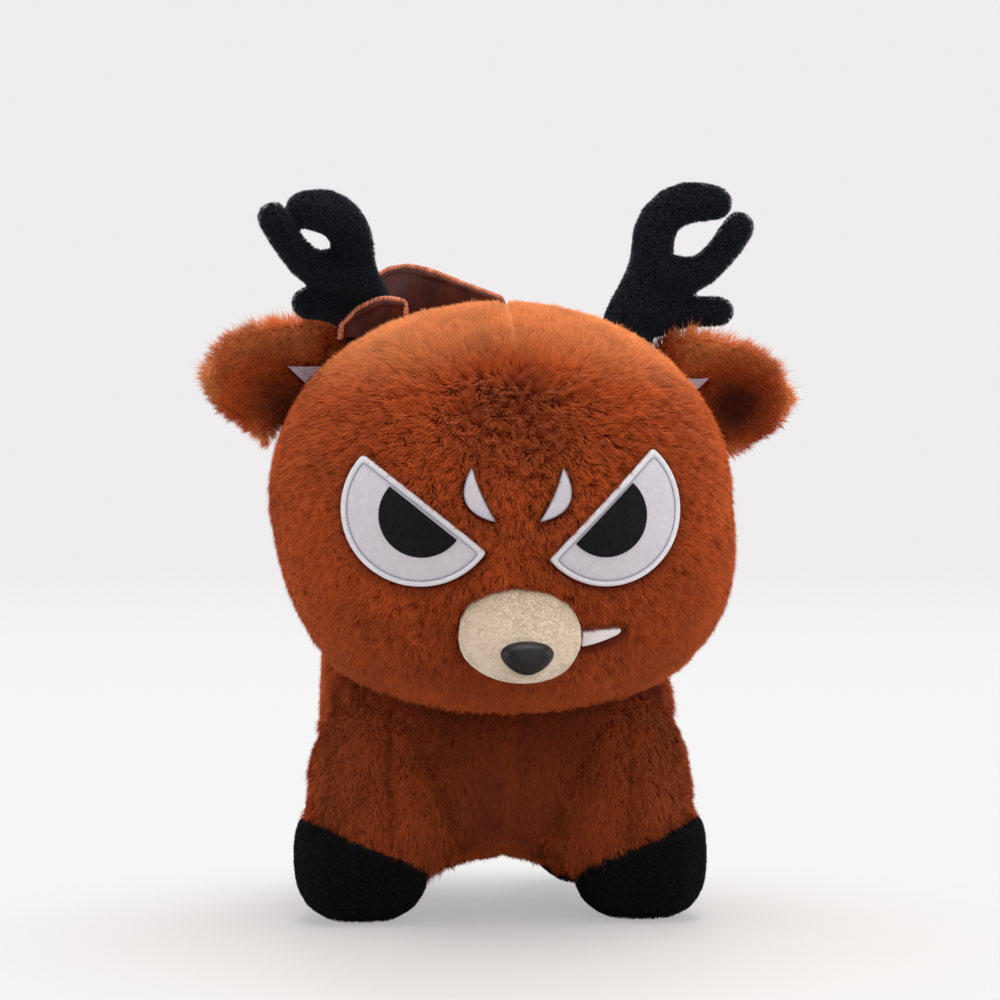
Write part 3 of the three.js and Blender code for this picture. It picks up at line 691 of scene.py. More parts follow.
class Cover:
    """The backing of one stuffed form: its place, its normals and how much pile grows at each point."""

    def __init__(self, node, pile, voxel, rounds=4, lumps=0.5 * MM, holds=()):
        self.node = node
        self.pile = pile
        self.mesh, self.form = even_form((node, *holds), voxel, rounds)
        self.triangles = mesh_triangles(self.mesh)
        self.form_normals = vertex_normals(self.form, self.triangles)
        self.growth = np.ones(len(self.form))
        self.moves = -pile.depth * self.form_normals
        self.moves += (lumps * smooth_noise(self.form, LUMP_PITCH, len(node)))[:, None] * self.form_normals

    def eased_into(self, *others, reach=22 * MM):
        """The crease between this form and another is filled, by the same amount from both sides."""
        swell = np.zeros_like(self.form)
        for other in others:
            _, normals, gaps = node_surface(other).nearest(self.form)
            share = np.clip(1 - gaps / reach, 0, 1)[:, None]
            way = (1 - share / 2) * self.form_normals + share / 2 * normals
            swell += share**2 * reach / 4 * way / np.maximum((way * way).sum(1, keepdims=True), 0.3)
        self.moves += swell
        return self

    def sewn_to(self, other, other_depth=BROWN_PILE.depth, reach=5 * MM):
        """The backing runs on into another form, and no pile grows on what is hidden there."""
        _, normals, gaps = node_surface(other).nearest(self.form)
        near = 1 - smooth_step(gaps, 1 * MM, reach)
        facing = (self.form_normals * normals).sum(1)
        inward = self.pile.depth * facing - gaps - 0.9 * other_depth
        self.moves += (near * inward)[:, None] * normals
        self.growth *= 1 - near * smooth_step(-facing, 0.3, 0.7)
        return self

    def covering(self, other, gap):
        """The backing is pushed out until it lies over a hard piece that it holds."""
        surface = node_surface(other)
        for _ in range(3):
            points = self.form + self.moves
            nearest, normals, gaps = surface.nearest(points)
            within = (((points - nearest) * normals).sum(1) < 0) & (gaps < WASHER_THICKNESS)
            short = np.clip(gap - np.where(within, -gaps, gaps), 0, None)
            self.moves += short[:, None] * self.form_normals
        return self

    def under(self, *others, gap=1.4 * MM):
        """No pile grows where another form lies on this one."""
        for other in others:
            gaps = node_surface(other).nearest(self.form)[2]
            self.growth *= smooth_step(gaps, gap, 2 * gap)
        return self

    def grooved(self, x, reach, depth, where=lambda form, normals: 1):
        """A seam line drawn in along the plane at x, as deep as where says."""
        near = np.exp(-(((self.form[:, 0] - x) / reach) ** 2)) * where(self.form, self.form_normals)
        self.moves -= (depth * near)[:, None] * self.form_normals
        return self

    def flat_on_floor(self):
        """The sole stays on the floor, with no pile below it."""
        low = 1 - smooth_step(self.form[:, 2], 0.5 * MM, 2.5 * MM)
        self.moves[:, 2] *= 1 - low
        self.growth *= 1 - low * smooth_step(-self.form_normals[:, 2], 0.3, 0.8)
        return self

    def named(self, part):
        """leg_front_left has a leg_cover_front_left and a leg_pile_front_left."""
        kind, *spot = self.node.split("_")
        return "_".join([kind, part, *spot])

    def finished(self, body=BODY, fill=0.85):
        """The moves are made. Where they fold a thin rim over, the pile keeps the form's own normals."""
        self.body = body
        self.points = self.form + self.moves
        self.mesh.vertices.foreach_set("co", self.points.ravel())
        self.mesh.update()
        normals = vertex_normals(self.points, self.triangles)
        folded = np.clip(0.5 - (normals * self.form_normals).sum(1), 0, 1)[:, None]
        self.normals = unit(normals + 2 * folded * self.form_normals)
        piece = dressed(self.named("cover"), self.mesh, self.pile.backing)
        declared(piece, body, self.node)
        return self


def over_crown(form, normals):
    return smooth_step(form[:, 2], 190 * MM, 220 * MM)


def down_front(form, normals):
    return smooth_step(-normals[:, 1], 0, 0.5)


head = (
    Cover("head", BROWN_PILE, 3 * MM)
    .under("body", "ear_left", "ear_right", "antler_left", "antler_right")
    .under("muzzle", gap=0.7 * MM)
    .grooved(CROWN_SEAM_X, 2.0 * MM, 0.5 * MM, over_crown)
    .finished()
)
head_form = Surface(head.form, head.triangles)
body = (
    Cover("body", BROWN_PILE, 3 * MM)
    .eased_into(*LEG_NODES)
    .sewn_to("head")
    .under(*LEG_NODES, "tail")
    .grooved(CHEST_SEAM_X, 3 * MM, 0.8 * MM)
    .finished()
)
legs = {}
boots = {}
for spot in SPOTS:
    seam_x = LEG_SEAM_X[spot.split("_")[1]]
    legs[spot] = (
        Cover(f"leg_{spot}", BROWN_PILE, 2.5 * MM)
        .eased_into("body")
        .sewn_to("body")
        .sewn_to("head")
        .sewn_to(f"boot_{spot}", BLACK_PILE.depth, reach=3 * MM)
        .grooved(seam_x, 2 * MM, 1.2 * MM, down_front)
        .finished()
    )
    boots[spot] = Cover(f"boot_{spot}", BLACK_PILE, 2.2 * MM).under(f"leg_{spot}").flat_on_floor().finished()
tail = Cover("tail", EAR_PILE, 1.8 * MM).sewn_to("body").finished()
muzzle = (
    Cover("muzzle", CREAM_PILE, 1.2 * MM, rounds=5, lumps=0.2 * MM, holds=["nose_washer"])
    .sewn_to("head")
    .sewn_to("nose", 0.6 * MM, reach=2.5 * MM)
    .covering("nose_washer", WASHER_COVER)
    .finished(fill=1.0)
)
antlers = {}
ears = {}
for side in SIDES:
    antlers[side] = Cover(f"antler_{side}", ANTLER_PILE, 0.9 * MM).sewn_to("head").finished(fill=1.0)
    ears[side] = (
        Cover(f"ear_{side}", EAR_PILE, 1.7 * MM, rounds=2)
        .under(f"ear_lining_{side}", gap=0.9 * MM)
        .finished(EAR_BODIES[side], fill=0.5)
    )

# Face patches


def ring_of_angles(count):
    return np.linspace(0, 2 * math.pi, count, endpoint=False)


def half_disc(side, x, z, radius, chord, arc_steps, chord_steps):
    """The outline of a disc with its top cut off along a slanting line, as x and z."""
    across_angle = math.pi / 2 + SIDES[side] * EYE_TILT[side]
    opening = math.acos(chord / radius)
    start = across_angle + opening
    end = across_angle - opening + 2 * math.pi
    angles = np.linspace(start, end, arc_steps, endpoint=False)
    arc = np.stack([x + radius * np.cos(angles), z + radius * np.sin(angles)], 1)
    corner = np.array([x + radius * math.cos(end), z + radius * math.sin(end)])
    shares = np.linspace(0, 1, chord_steps, endpoint=False)[:, None]
    line = corner + shares * (arc[0] - corner)
    return np.concatenate([arc, line])


def rounded(outline, reach):
    """A closed outline with its corners rounded, by a soft mean over its neighbours."""
    step = np.linalg.norm(np.diff(outline, axis=0), axis=1).mean()
    count = len(outline)
    spread = reach / step
    turns = np.minimum(np.arange(count), count - np.arange(count))
    weights = np.exp(-((turns / spread) ** 2) / 2)
    softening = np.fft.rfft(weights / weights.sum())
    softened = [np.fft.irfft(np.fft.rfft(values) * softening, count) for values in outline.T]
    return np.stack(softened, 1)


def bowed_loop(*bows):
    """A closed outline of quadratic curves. Each is a start, a control point and a number of steps."""
    parts = []
    for number, (start, control, steps) in enumerate(bows):
        end = np.array(bows[(number + 1) % len(bows)][0])
        start, control = np.array(start), np.array(control)
        shares = np.linspace(0, 1, steps, endpoint=False)[:, None]
        parts.append(start * (1 - shares) ** 2 + 2 * control * shares * (1 - shares) + end * shares**2)
    return np.concatenate(parts)


def on_face(outline, heights):
    """Outline points laid on the head, each raised by its height."""
    hits = [head_form.from_front(x, z) for x, z in outline]
    points = np.array([point for point, _ in hits])
    normals = np.array([normal for _, normal in hits])
    return points + normals * np.asarray(heights).reshape(-1, 1)


def ring_faces(rows, columns, closed=False):
    """Quads between rows of points that run round a loop. Closed joins the last row to the first."""
    faces = []
    for row in range(rows if closed else rows - 1):
        low = row * columns
        high = (row + 1) % rows * columns
        for column in range(columns):
            after = (column + 1) % columns
            faces.append((low + column, low + after, high + after, high + column))
    return faces


def capped(name, rows, material, node=None):
    """Rings of points with a flat end at both sides."""
    count = len(rows[0])
    last = (len(rows) - 1) * count
    faces = ring_faces(len(rows), count)
    faces.append(tuple(range(count))[::-1])
    faces.append(tuple(range(last, last + count)))
    return built(name, rows, faces, material, node)


def patch(
    name, node, outline, material, top=FELT_TOP, thickness=MARK_THICKNESS, crown=FELT_CROWN, rings=8
):
    """A thin cloth piece on the head: rounded at its edge, a little crowned, and closed underneath."""
    middle = outline.mean(0)
    count = len(outline)
    edge = min(PATCH_EDGE, thickness / 2)
    span = np.linalg.norm(outline - middle, axis=1).mean()
    rows = [on_face(outline, np.full(count, top - thickness))]
    for inset, drop in ((0.0, edge), (edge * 0.3, edge * 0.3), (edge, 0.0)):
        rows.append(on_face(middle + (outline - middle) * (1 - inset / span), np.full(count, top - drop)))
    for ring in range(1, rings):
        share = 1 - ring / rings
        inner = middle + (outline - middle) * (1 - edge / span) * share
        rows.append(on_face(inner, np.full(count, top + crown * (1 - share**2))))
    hub = len(rows) * count
    last = hub - count
    faces = ring_faces(len(rows), count)
    faces += [(last + i, last + (i + 1) % count, hub) for i in range(count)]
    faces += [((i + 1) % count, i, hub + 1) for i in range(count)]
    rows += [on_face([middle], [top + crown]), on_face([middle], [top - thickness])]
    return built(name, rows, faces, material, node)


def eye_outline(side, inset, fine=1.0):
    """The outline of an eye patch, drawn in by an inset. A lower fine has fewer points."""
    x = FACE_MIDDLE_X + SIDES[side] * EYE_SPREAD[side]
    z = FACE_MIDDLE_Z + EYE_RISE
    arc_steps = int(fine * STITCH_STEPS_EACH * math.pi * EYE_RADIUS / STITCH_PITCH)
    chord_steps = int(fine * STITCH_STEPS_EACH * 2 * EYE_RADIUS / STITCH_PITCH)
    outline = half_disc(side, x, z, EYE_RADIUS - inset, EYE_CHORD - inset, arc_steps, chord_steps)
    return rounded(outline, EYE_CORNER)


def satin_border(side):
    """A band of close satin stitches round an eye, with a foot that reaches into the pile."""
    length = np.linalg.norm(np.diff(eye_outline(side, 0), axis=0), axis=1).sum()
    rows = []
    for share, height in EYE_BORDER_SECTION:
        outline = eye_outline(side, share * EYE_BORDER)
        count = len(outline)
        places = np.arange(count) / count * length
        random = np.random.default_rng(int(share * 100))
        ribs = np.abs(np.sin(math.pi * places / STITCH_PITCH))
        uneven = 0.75 + 0.25 * random.random(count)
        relief = STITCH_RELIEF * ribs * uneven * math.sin(math.pi * min(share + 0.1, 0.95))
        rows.append(on_face(outline, height + (relief if height > 0 else 0)))
    faces = ring_faces(len(rows), len(rows[0]), closed=True)
    built(f"eye_stitching_{side}", rows, faces, white_thread, f"eye_border_{side}")


def tube(name, path, radius, material, sides=6, closed=True):
    """A thread along a path of points."""
    path = np.asarray(path)
    count = len(path)
    if closed:
        along = unit(np.roll(path, -1, 0) - np.roll(path, 1, 0))
    else:
        along = unit(np.gradient(path, axis=0))
    side_way = unit(np.cross(along, [0.13, 0.97, 0.2]))
    upward = np.cross(side_way, along)
    radii = np.broadcast_to(radius, count)[:, None]
    rows = []
    for step in range(sides):
        angle = 2 * math.pi * step / sides
        rows.append(path + radii * (side_way * math.cos(angle) + upward * math.sin(angle)))
    faces = []
    for i in range(count if closed else count - 1):
        after = (i + 1) % count
        for step in range(sides):
            turn = (step + 1) % sides
            faces.append((step * count + i, turn * count + i, turn * count + after, step * count + after))
    if not closed:
        faces.append(tuple(step * count for step in range(sides))[::-1])
        faces.append(tuple(step * count + count - 1 for step in range(sides)))
    return built(name, rows, faces, material)


for side, sign in SIDES.items():
    satin_border(side)
    patch(
        f"eye_white_{side}",
        f"eye_felt_{side}",
        eye_outline(side, EYE_BORDER * FELT_UNDER_BORDER, 0.12),
        white_felt,
        thickness=FELT_THICKNESS,
        rings=16,
    )
    line = on_face(eye_outline(side, LINE_INSET, 0.25), FELT_TOP + 0.6 * LINE_RADIUS)
    tube(f"eye_line_{side}", line, LINE_RADIUS, grey_thread)
    pupil_x = FACE_MIDDLE_X + sign * (EYE_SPREAD[side] - PUPIL_INWARD)
    pupil_z = FACE_MIDDLE_Z + EYE_RISE - PUPIL_DROP
    pupil_outline = half_disc(side, pupil_x, pupil_z, PUPIL_RADIUS, PUPIL_CHORD, 64, 36)
    patch(
        f"pupil_patch_{side}",
        f"pupil_{side}",
        pupil_outline,
        black_felt,
        top=PUPIL_TOP,
        thickness=PUPIL_TOP - FELT_TOP,
        crown=PUPIL_CROWN,
        rings=12,
    )


def face_mark(name, node, loop, material):
    """A small felt mark whose outline is given from the middle of the face."""
    outline = loop + np.array([FACE_MIDDLE_X, FACE_MIDDLE_Z])
    patch(name, node, outline, material)
    return outline


for side, sign in SIDES.items():
    top = Vector((sign * BROW_TOP.x, BROW_TOP.y))
    foot = Vector((sign * BROW_FOOT.x, BROW_FOOT.y))
    outward = Vector((sign * (top.y - foot.y), -abs(top.x - foot.x))).normalized()
    bulge = (top + foot) / 2 + 2 * BROW_BULGE * outward
    hollow = (top + foot) / 2 + 2 * BROW_HOLLOW * outward
    loop = bowed_loop((top, bulge, 40), (foot, hollow, 40))
    outline = face_mark(f"brow_patch_{side}", f"brow_mark_{side}", loop, white_felt)
    rim = on_face(outline, FELT_TOP - BROW_LINE_DROP)
    tube(f"brow_line_{side}", rim, BROW_LINE_RADIUS, grey_thread)

smirk_foot = -SMIRK_DROP
smirk_top = smirk_foot + SMIRK_HEIGHT
smirk_crest = smirk_top + SMIRK_LIFT
smirk_end = SMIRK_START + SMIRK_LENGTH
smirk_middle = SMIRK_START + SMIRK_LENGTH / 2
smirk_loop = bowed_loop(
    ((SMIRK_START, smirk_foot), (smirk_middle, smirk_foot + SMIRK_LIFT), 30),
    ((smirk_end, smirk_crest - SMIRK_TIP), (smirk_end + SMIRK_TIP, smirk_crest), 10),
    ((smirk_end, smirk_crest), (smirk_middle, smirk_crest), 30),
    ((SMIRK_START, smirk_top), (SMIRK_START, (smirk_top + smirk_foot) / 2), 10),
)
face_mark("smirk_patch", "smirk", smirk_loop, bright_felt)

# Nose: a domed rounded triangle with its ribbed shank

nose_low, nose_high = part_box("nose")
nose_x = (nose_low.x + nose_high.x) / 2
nose_z = (nose_low.z + nose_high.z) / 2
nose_rim_y = nose_low.y + NOSE_DOME
nose_back_y = nose_rim_y + NOSE_BACK


def nose_ring(y, share, count=64):
    angles = ring_of_angles(count)
    widths = NOSE_HALF_WIDTH * share * (1 + NOSE_FLARE * np.sin(angles)) * np.cos(angles)
    heights = NOSE_HALF_HEIGHT * share * np.sin(angles)
    return np.stack([nose_x + widths, np.full(count, y), nose_z + heights], 1)


def shank_ring(y, radius, count=24):
    angles = ring_of_angles(count)
    level = np.full(count, y)
    return np.stack([nose_x + radius * np.cos(angles), level, nose_z + radius * np.sin(angles)], 1)


nose_rows = [nose_ring(nose_back_y, 0.86), nose_ring(nose_back_y, 0.92), nose_ring(nose_rim_y, 0.985)]
for angle in np.radians(np.arange(6, 88, 6)):
    nose_rows.append(nose_ring(nose_rim_y - NOSE_DOME * math.sin(angle), math.cos(angle) ** 0.62))
capped("nose_moulding", nose_rows, nose_plastic, "nose")

shank_rows = []
for rib in range(SHANK_RIBS):
    for share, radius in ((0.0, SHANK_RADIUS), (0.55, SHANK_RADIUS), (0.8, SHANK_RADIUS + SHANK_RIB)):
        shank_rows.append(shank_ring(nose_rim_y + (rib + share) * SHANK_LENGTH / SHANK_RIBS, radius))
capped("nose_shank", shank_rows, nose_plastic)

washer_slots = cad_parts["nose_washer"].data.materials
washer_slots.clear()
washer_slots.append(washer_plastic)

# Thin cloth: the satin lips of the crown flap and the felt linings in the ears


def cloth_form(name, node, material, body, voxel, rounds, ripple, pitch):
    mesh, points = even_form((node,), voxel, rounds)
    ripples = np.stack([ripple * smooth_noise(points, pitch, axis + 3) for axis in range(3)], 1)
    mesh.vertices.foreach_set("co", (points + ripples).ravel())
    return declared(dressed(name, mesh, material), body, node)


def evenly(path, pitch):
    """Points of a path at an even pitch."""
    spans = np.concatenate([[0], np.cumsum(np.linalg.norm(np.diff(path, axis=0), axis=1))])
    places = np.arange(0, spans[-1], pitch)
    return np.stack([np.interp(places, spans, path[:, axis]) for axis in range(3)], 1)


def highest(surface, x, low, high, steps=90):
    """The highest point of a lip at this x."""
    hits = []
    for y in np.linspace(low.y, high.y, steps):
        hit = surface.tree.ray_cast((x, y, high.z + MM), (0, 0, -1))[0]
        if hit:
            hits.append(tuple(hit))
    return max(hits, key=lambda hit: hit[2])


def top_edge(node, steps=90):
    """Points along the highest line of a standing lip, which goes down into the head at both ends."""
    surface = node_surface(node)
    low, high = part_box(node)
    places = np.linspace(low.x + HEM_RADIUS, high.x - HEM_RADIUS, steps)
    edge = np.array([highest(surface, x, low, high) for x in places])
    first = edge[0] + np.array([-HEM_RADIUS / 2, 0, -HEM_DROP])
    last = edge[-1] + np.array([HEM_RADIUS / 2, 0, -HEM_DROP])
    edge = evenly(np.concatenate([[first], edge, [last]]), HEM_STEP)
    for _ in range(HEM_SMOOTHING):
        edge[1:-1] = (edge[:-2] + 2 * edge[1:-1] + edge[2:]) / 4
    return edge


def whipped(path, radius, pitch, steps=8):
    """A thread's path round a hem, one turn for each pitch."""
    fine = evenly(path, pitch / steps)
    along = unit(np.gradient(fine, axis=0))
    side_way = unit(np.cross(along, [0.0, 0.0, 1.0]))
    upward = np.cross(side_way, along)
    turns = 2 * math.pi * np.arange(len(fine)) / steps
    return fine + radius * (np.cos(turns)[:, None] * side_way + np.sin(turns)[:, None] * upward)


for part_name, (flat, cut_share) in FLAPS.items():
    node = f"crown_flap_{part_name}"
    lip = cloth_form(
        f"flap_{part_name}", node, copper_satin, BODY, 0.55 * MM, 3, 0.6 * MM, 7 * MM
    )
    edge = top_edge(node)
    puckers = 1 + 0.16 * smooth_noise(edge, 1.9 * MM, 5) + 0.08 * smooth_noise(edge, 0.8 * MM, 6)
    hem_radii = HEM_RADIUS * puckers
    hem = tube(f"flap_hem_{part_name}", edge, hem_radii, copper_hem, sides=12, closed=False)
    wound = whipped(edge, HEM_RADIUS, HEM_THREAD_PITCH)
    thread_name = f"flap_thread_{part_name}"
    thread = tube(thread_name, wound, HEM_THREAD_RADIUS, copper_thread, closed=False)

for side, ear_body in EAR_BODIES.items():
    node = f"ear_lining_{side}"
    lining = cloth_form(
        f"lining_{side}", node, lilac_felt, ear_body, 0.4 * MM, 2, 0.15 * MM, 6 * MM
    )

# How pile grows


def scattered(cover, density, random):
    """Random places on a cover, and the normals there."""
    corners = cover.triangles
    a, b, c = (cover.points[corners[:, i]] for i in range(3))
    areas = np.linalg.norm(np.cross(b - a, c - a), axis=1) / 2
    weights = areas * cover.growth[corners].mean(1)
    count = int(density / MM**2 * weights.sum())
    picked = random.choice(len(weights), count, p=weights / weights.sum())
    first = np.sqrt(random.random(count))
    second = random.random(count)
    shares = np.stack([1 - first, first * (1 - second), first * second], 1)[:, :, None]
    chosen = corners[picked]
    return (cover.points[chosen] * shares).sum(1), unit((cover.normals[chosen] * shares).sum(1))


def combed_clumps(cover, comb, random, seed):
    """The middles of the clumps that strands lean towards, and the way that each clump lies."""
    pile = cover.pile
    places, normals = scattered(cover, 1 / (math.pi * (pile.clump / MM) ** 2 / 2), random)
    ways = across(comb(places), normals)
    ways /= np.maximum(np.linalg.norm(ways, axis=1, keepdims=True), FIRM_COMB)
    ways += pile.swirl * smooth_noise_vectors(places, WIDE_SWIRL, seed)
    ways += 0.6 * pile.swirl * smooth_noise_vectors(places, NARROW_SWIRL, seed + 1)
    ways += 0.4 * pile.swirl * random.normal(size=places.shape)
    return SimpleNamespace(places=places, normals=normals, ways=unit(across(ways, normals)))


def nearest_clumps(clumps, roots):
    tree = KDTree(len(clumps.places))
    for index, place in enumerate(clumps.places.tolist()):
        tree.insert(place, index)
    tree.balance()
    return np.array([tree.find(root)[1] for root in roots.tolist()])


def leaning(strands, angles):
    """The way that each strand points at this angle from the surface's normal."""
    return unit(strands.normals * np.cos(angles)[:, None] + strands.ways * np.sin(angles)[:, None])


def kites(strands, clumps, pile, random):
    """Four points for each strand: its root, the two sides of its bend, and its tip."""
    count = len(strands.roots)
    half = (strands.lengths / 2)[:, None]
    middles = strands.roots + leaning(strands, strands.rises) * half
    tips = middles + leaning(strands, strands.falls) * half
    lean = pile.fall * CLUMP_LEAN
    clump_lean = unit(clumps.normals * math.cos(lean) + clumps.ways * math.sin(lean))
    clump_tips = (clumps.places + clump_lean * pile.length)[strands.clumps]
    pull = (pile.pull * (0.5 + 0.8 * random.random(count)))[:, None]
    tips += pull * across(clump_tips - tips, strands.normals)
    middles += MIDDLE_PULL * pull * across(clump_tips - tips, strands.normals)
    broad = unit(np.cross(tips - strands.roots, strands.normals))
    turn = (TURN_SPREAD * random.normal(size=count))[:, None]
    broad = unit(broad * np.cos(turn) + unit(np.cross(broad, tips - strands.roots)) * np.sin(turn))
    half_width = (pile.width / 2 * (0.75 + 0.5 * random.random(count)))[:, None]
    feet = strands.roots - ROOT_DEPTH * strands.normals
    return np.stack([feet, middles + broad * half_width, middles - broad * half_width, tips], 1)


def grow_pile(cover, comb, shape=None, seed=SEED, floor=None):
    """Strands on a cover. comb gives the way they lie, and shape changes what a strand is like."""
    pile = cover.pile
    random = np.random.default_rng(seed)
    roots, normals = scattered(cover, pile.density * PILE_SHARE, random)
    clumps = combed_clumps(cover, comb, random, seed)
    nearest = nearest_clumps(clumps, roots)
    count = len(roots)
    ways = clumps.ways[nearest] + pile.stray * random.normal(size=roots.shape)
    lengths = pile.length * np.clip(random.normal(0.94, LENGTH_SPREAD, count), 0.5, 1.25)
    lengths *= (0.86 + 0.22 * random.random(len(clumps.places)))[nearest]
    strands = SimpleNamespace(
        roots=roots,
        normals=normals,
        clumps=nearest,
        ways=unit(across(ways, normals)),
        lengths=lengths,
        rises=pile.rise + RISE_SPREAD * random.normal(size=count),
        falls=pile.fall + FALL_SPREAD * random.normal(size=count),
        painted_light_and_seams=np.zeros(count),
    )
    if shape:
        shape(strands)
    kept = strands.lengths > SHORTEST_STRAND * pile.length
    for label, values in vars(strands).items():
        setattr(strands, label, values[kept])

    points = kites(strands, clumps, pile, random)
    if floor is not None:
        points[:, :, 2] = np.maximum(points[:, :, 2], floor)
    count = len(points)
    tones = random.random(count) * 0.75 + 0.25 * random.random(len(clumps.places))[strands.clumps]
    middle = cover.points.mean(0)
    order = np.argsort(np.arctan2(points[:, 0, 0] - middle[0], middle[1] - points[:, 0, 1]))
    parts = math.ceil(count / MOST_STRANDS)
    for number, chosen in enumerate(np.array_split(order, parts), 1):
        label = cover.named("pile") + (f"_{number}" if parts > 1 else "")
        mesh = strand_mesh(label, points[chosen], tones[chosen], strands.painted_light_and_seams[chosen])
        declared(dressed(label, mesh, pile.material), cover.body)


def strand_mesh(name, strands, tones, painted_light_and_seams):
    """One mesh of many strands. Each is two triangles that meet at its bend, in its own cell on the map."""
    count = len(strands)
    mesh = bpy.data.meshes.new(name)
    mesh.vertices.add(count * 4)
    mesh.vertices.foreach_set("co", strands.astype(np.float32).ravel())
    bends = np.array([0, 1, 2, 2, 1, 3])
    corners = (np.arange(count)[:, None] * 4 + bends).ravel()
    mesh.loops.add(len(corners))
    mesh.loops.foreach_set("vertex_index", corners.astype(np.int32))
    mesh.polygons.add(count * 2)
    mesh.polygons.foreach_set("loop_start", np.arange(0, len(corners), 3, dtype=np.int32))
    mesh.update(calc_edges=True)
    per_point = {
        "along": np.tile([0.0, 0.5, 0.5, 1.0], count),
        "tone": np.repeat(tones, 4),
        "painted_light_and_seams": np.repeat(painted_light_and_seams, 4),
    }
    for label, values in per_point.items():
        layer = mesh.attributes.new(label, "FLOAT", "POINT")
        layer.data.foreach_set("value", values.astype(np.float32))
    columns = math.ceil(math.sqrt(count))
    cell = np.stack([np.arange(count) % columns, np.arange(count) // columns], 1)
    shares = np.array([[0.5, 0.05], [0.95, 0.5], [0.05, 0.5], [0.5, 0.95]])
    places = (cell[:, None, :] + shares[bends][None, :, :]) / columns
    mesh.uv_layers.new(name="OFBake").data.foreach_set("uv", places.astype(np.float32).ravel())
    return mesh


# Combs: the way that each pile lies


def combed(*way):
    """A comb that lays a whole pile one way."""
    return lambda points: np.tile(way, (len(points), 1))


# Downwards, and backwards or forwards where the form is level
down = combed(0.0, 0.45, -1.0)
down_in_front = combed(0.0, -0.45, -1.0)
up = combed(0.0, 0.35, 1.0)


def from_whorl(points):
    """The head's pile lies back over the crown, down the face, and away from a whorl above the brow."""
    ways = np.zeros_like(points)
    ways[:, 0] = (points[:, 0] - FACE_MIDDLE_X) / WHORL_WIDTH
    ways[:, 1] = 0.8 * smooth_step(points[:, 2], WHORL_Z, CROWN_TOP)
    ways[:, 2] = np.clip((points[:, 2] - WHORL_Z) / WHORL_HEIGHT, -1.5, 1)
    return ways


def from_nose(points):
    """The muzzle's pile lies away from the nose."""
    ways = points - np.array([nose_x, points[:, 1].min(), nose_z])
    ways[:, 1] = np.abs(ways[:, 1])
    return ways


def ear_root_x(side):
    low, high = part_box(f"ear_{side}")
    return low.x if SIDES[side] > 0 else high.x


def ear_comb(side):
    """An ear's pile lies away from its root and towards its edges, and backwards over its rim."""
    low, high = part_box(f"ear_{side}")

    def outward(points):
        away = smooth_step(np.abs(points[:, 0] - ear_root_x(side)), 2 * MM, 16 * MM)
        upward = 2.4 * (points[:, 2] - (low.z + high.z) / 2) / (high.z - low.z)
        ways = np.zeros_like(points)
        ways[:, 0] = SIDES[side] * (away - 0.5 * (1 - away) * np.clip(upward, 0, 1))
        ways[:, 1] = EAR_BACKWARDS
        ways[:, 2] = upward
        return ways

    return outward


# Shapes: how strands change from place to place


def turned(strands, turn):
    """The strands turn this way and that, by soft noise times the turn."""
    turns = turn[:, None] * smooth_noise_vectors(strands.roots, TURN_PITCH, SEED)
    return across(turns, strands.normals)


def on_front(strands, low=0.2, high=0.7):
    """How far the surface faces the front."""
    return smooth_step(-strands.normals[:, 1], low, high)


patch_nodes = ["eye_border_left", "eye_border_right", "eye_felt_left", "eye_felt_right"]
patch_nodes += ["brow_mark_left", "brow_mark_right", "smirk"]
patches = node_surface(*patch_nodes)
muzzle_form = node_surface("muzzle")


def cleared_round_patches(strands, low):
    """Pile is left out under the patches. Beside them it is shorter, and gets a push away from them."""
    nearest, _, gaps = patches.nearest(strands.roots)
    sideways = across(strands.roots - nearest, strands.normals)
    spans = np.linalg.norm(sideways, axis=1)
    at_patch = gaps < 12 * MM
    beside = np.where(at_patch, 1 - smooth_step(spans, 0.5 * MM, 5 * MM), 0)
    beneath = at_patch & (spans < 0.5 * MM)
    strands.lengths = np.where(beneath, 0, strands.lengths * (1 - 0.1 * beside))
    push = (0.4 + 1.4 * low) * beside
    return beside, push[:, None] * unit(sideways + 1e-9)


def stand_over_muzzle(strands):
    """Pile stands up over the muzzle's upper edge, and leans over it."""
    points, _, gaps = muzzle_form.nearest(strands.roots)
    near = 1 - smooth_step(gaps, 1 * MM, 3.5 * MM)
    near *= smooth_step(strands.roots[:, 2], nose_z, nose_z + 22 * MM)
    inward = unit(across(points - strands.roots, strands.normals) + 1e-9)
    strands.ways = unit(strands.ways + 2.5 * near[:, None] * inward)
    strands.rises = strands.rises * (1 - near) + MUZZLE_FRINGE_RISE * near
    strands.falls = strands.falls * (1 - near) + MUZZLE_FRINGE_FALL * near
    strands.lengths *= 1 + MUZZLE_FRINGE_GROWTH * near


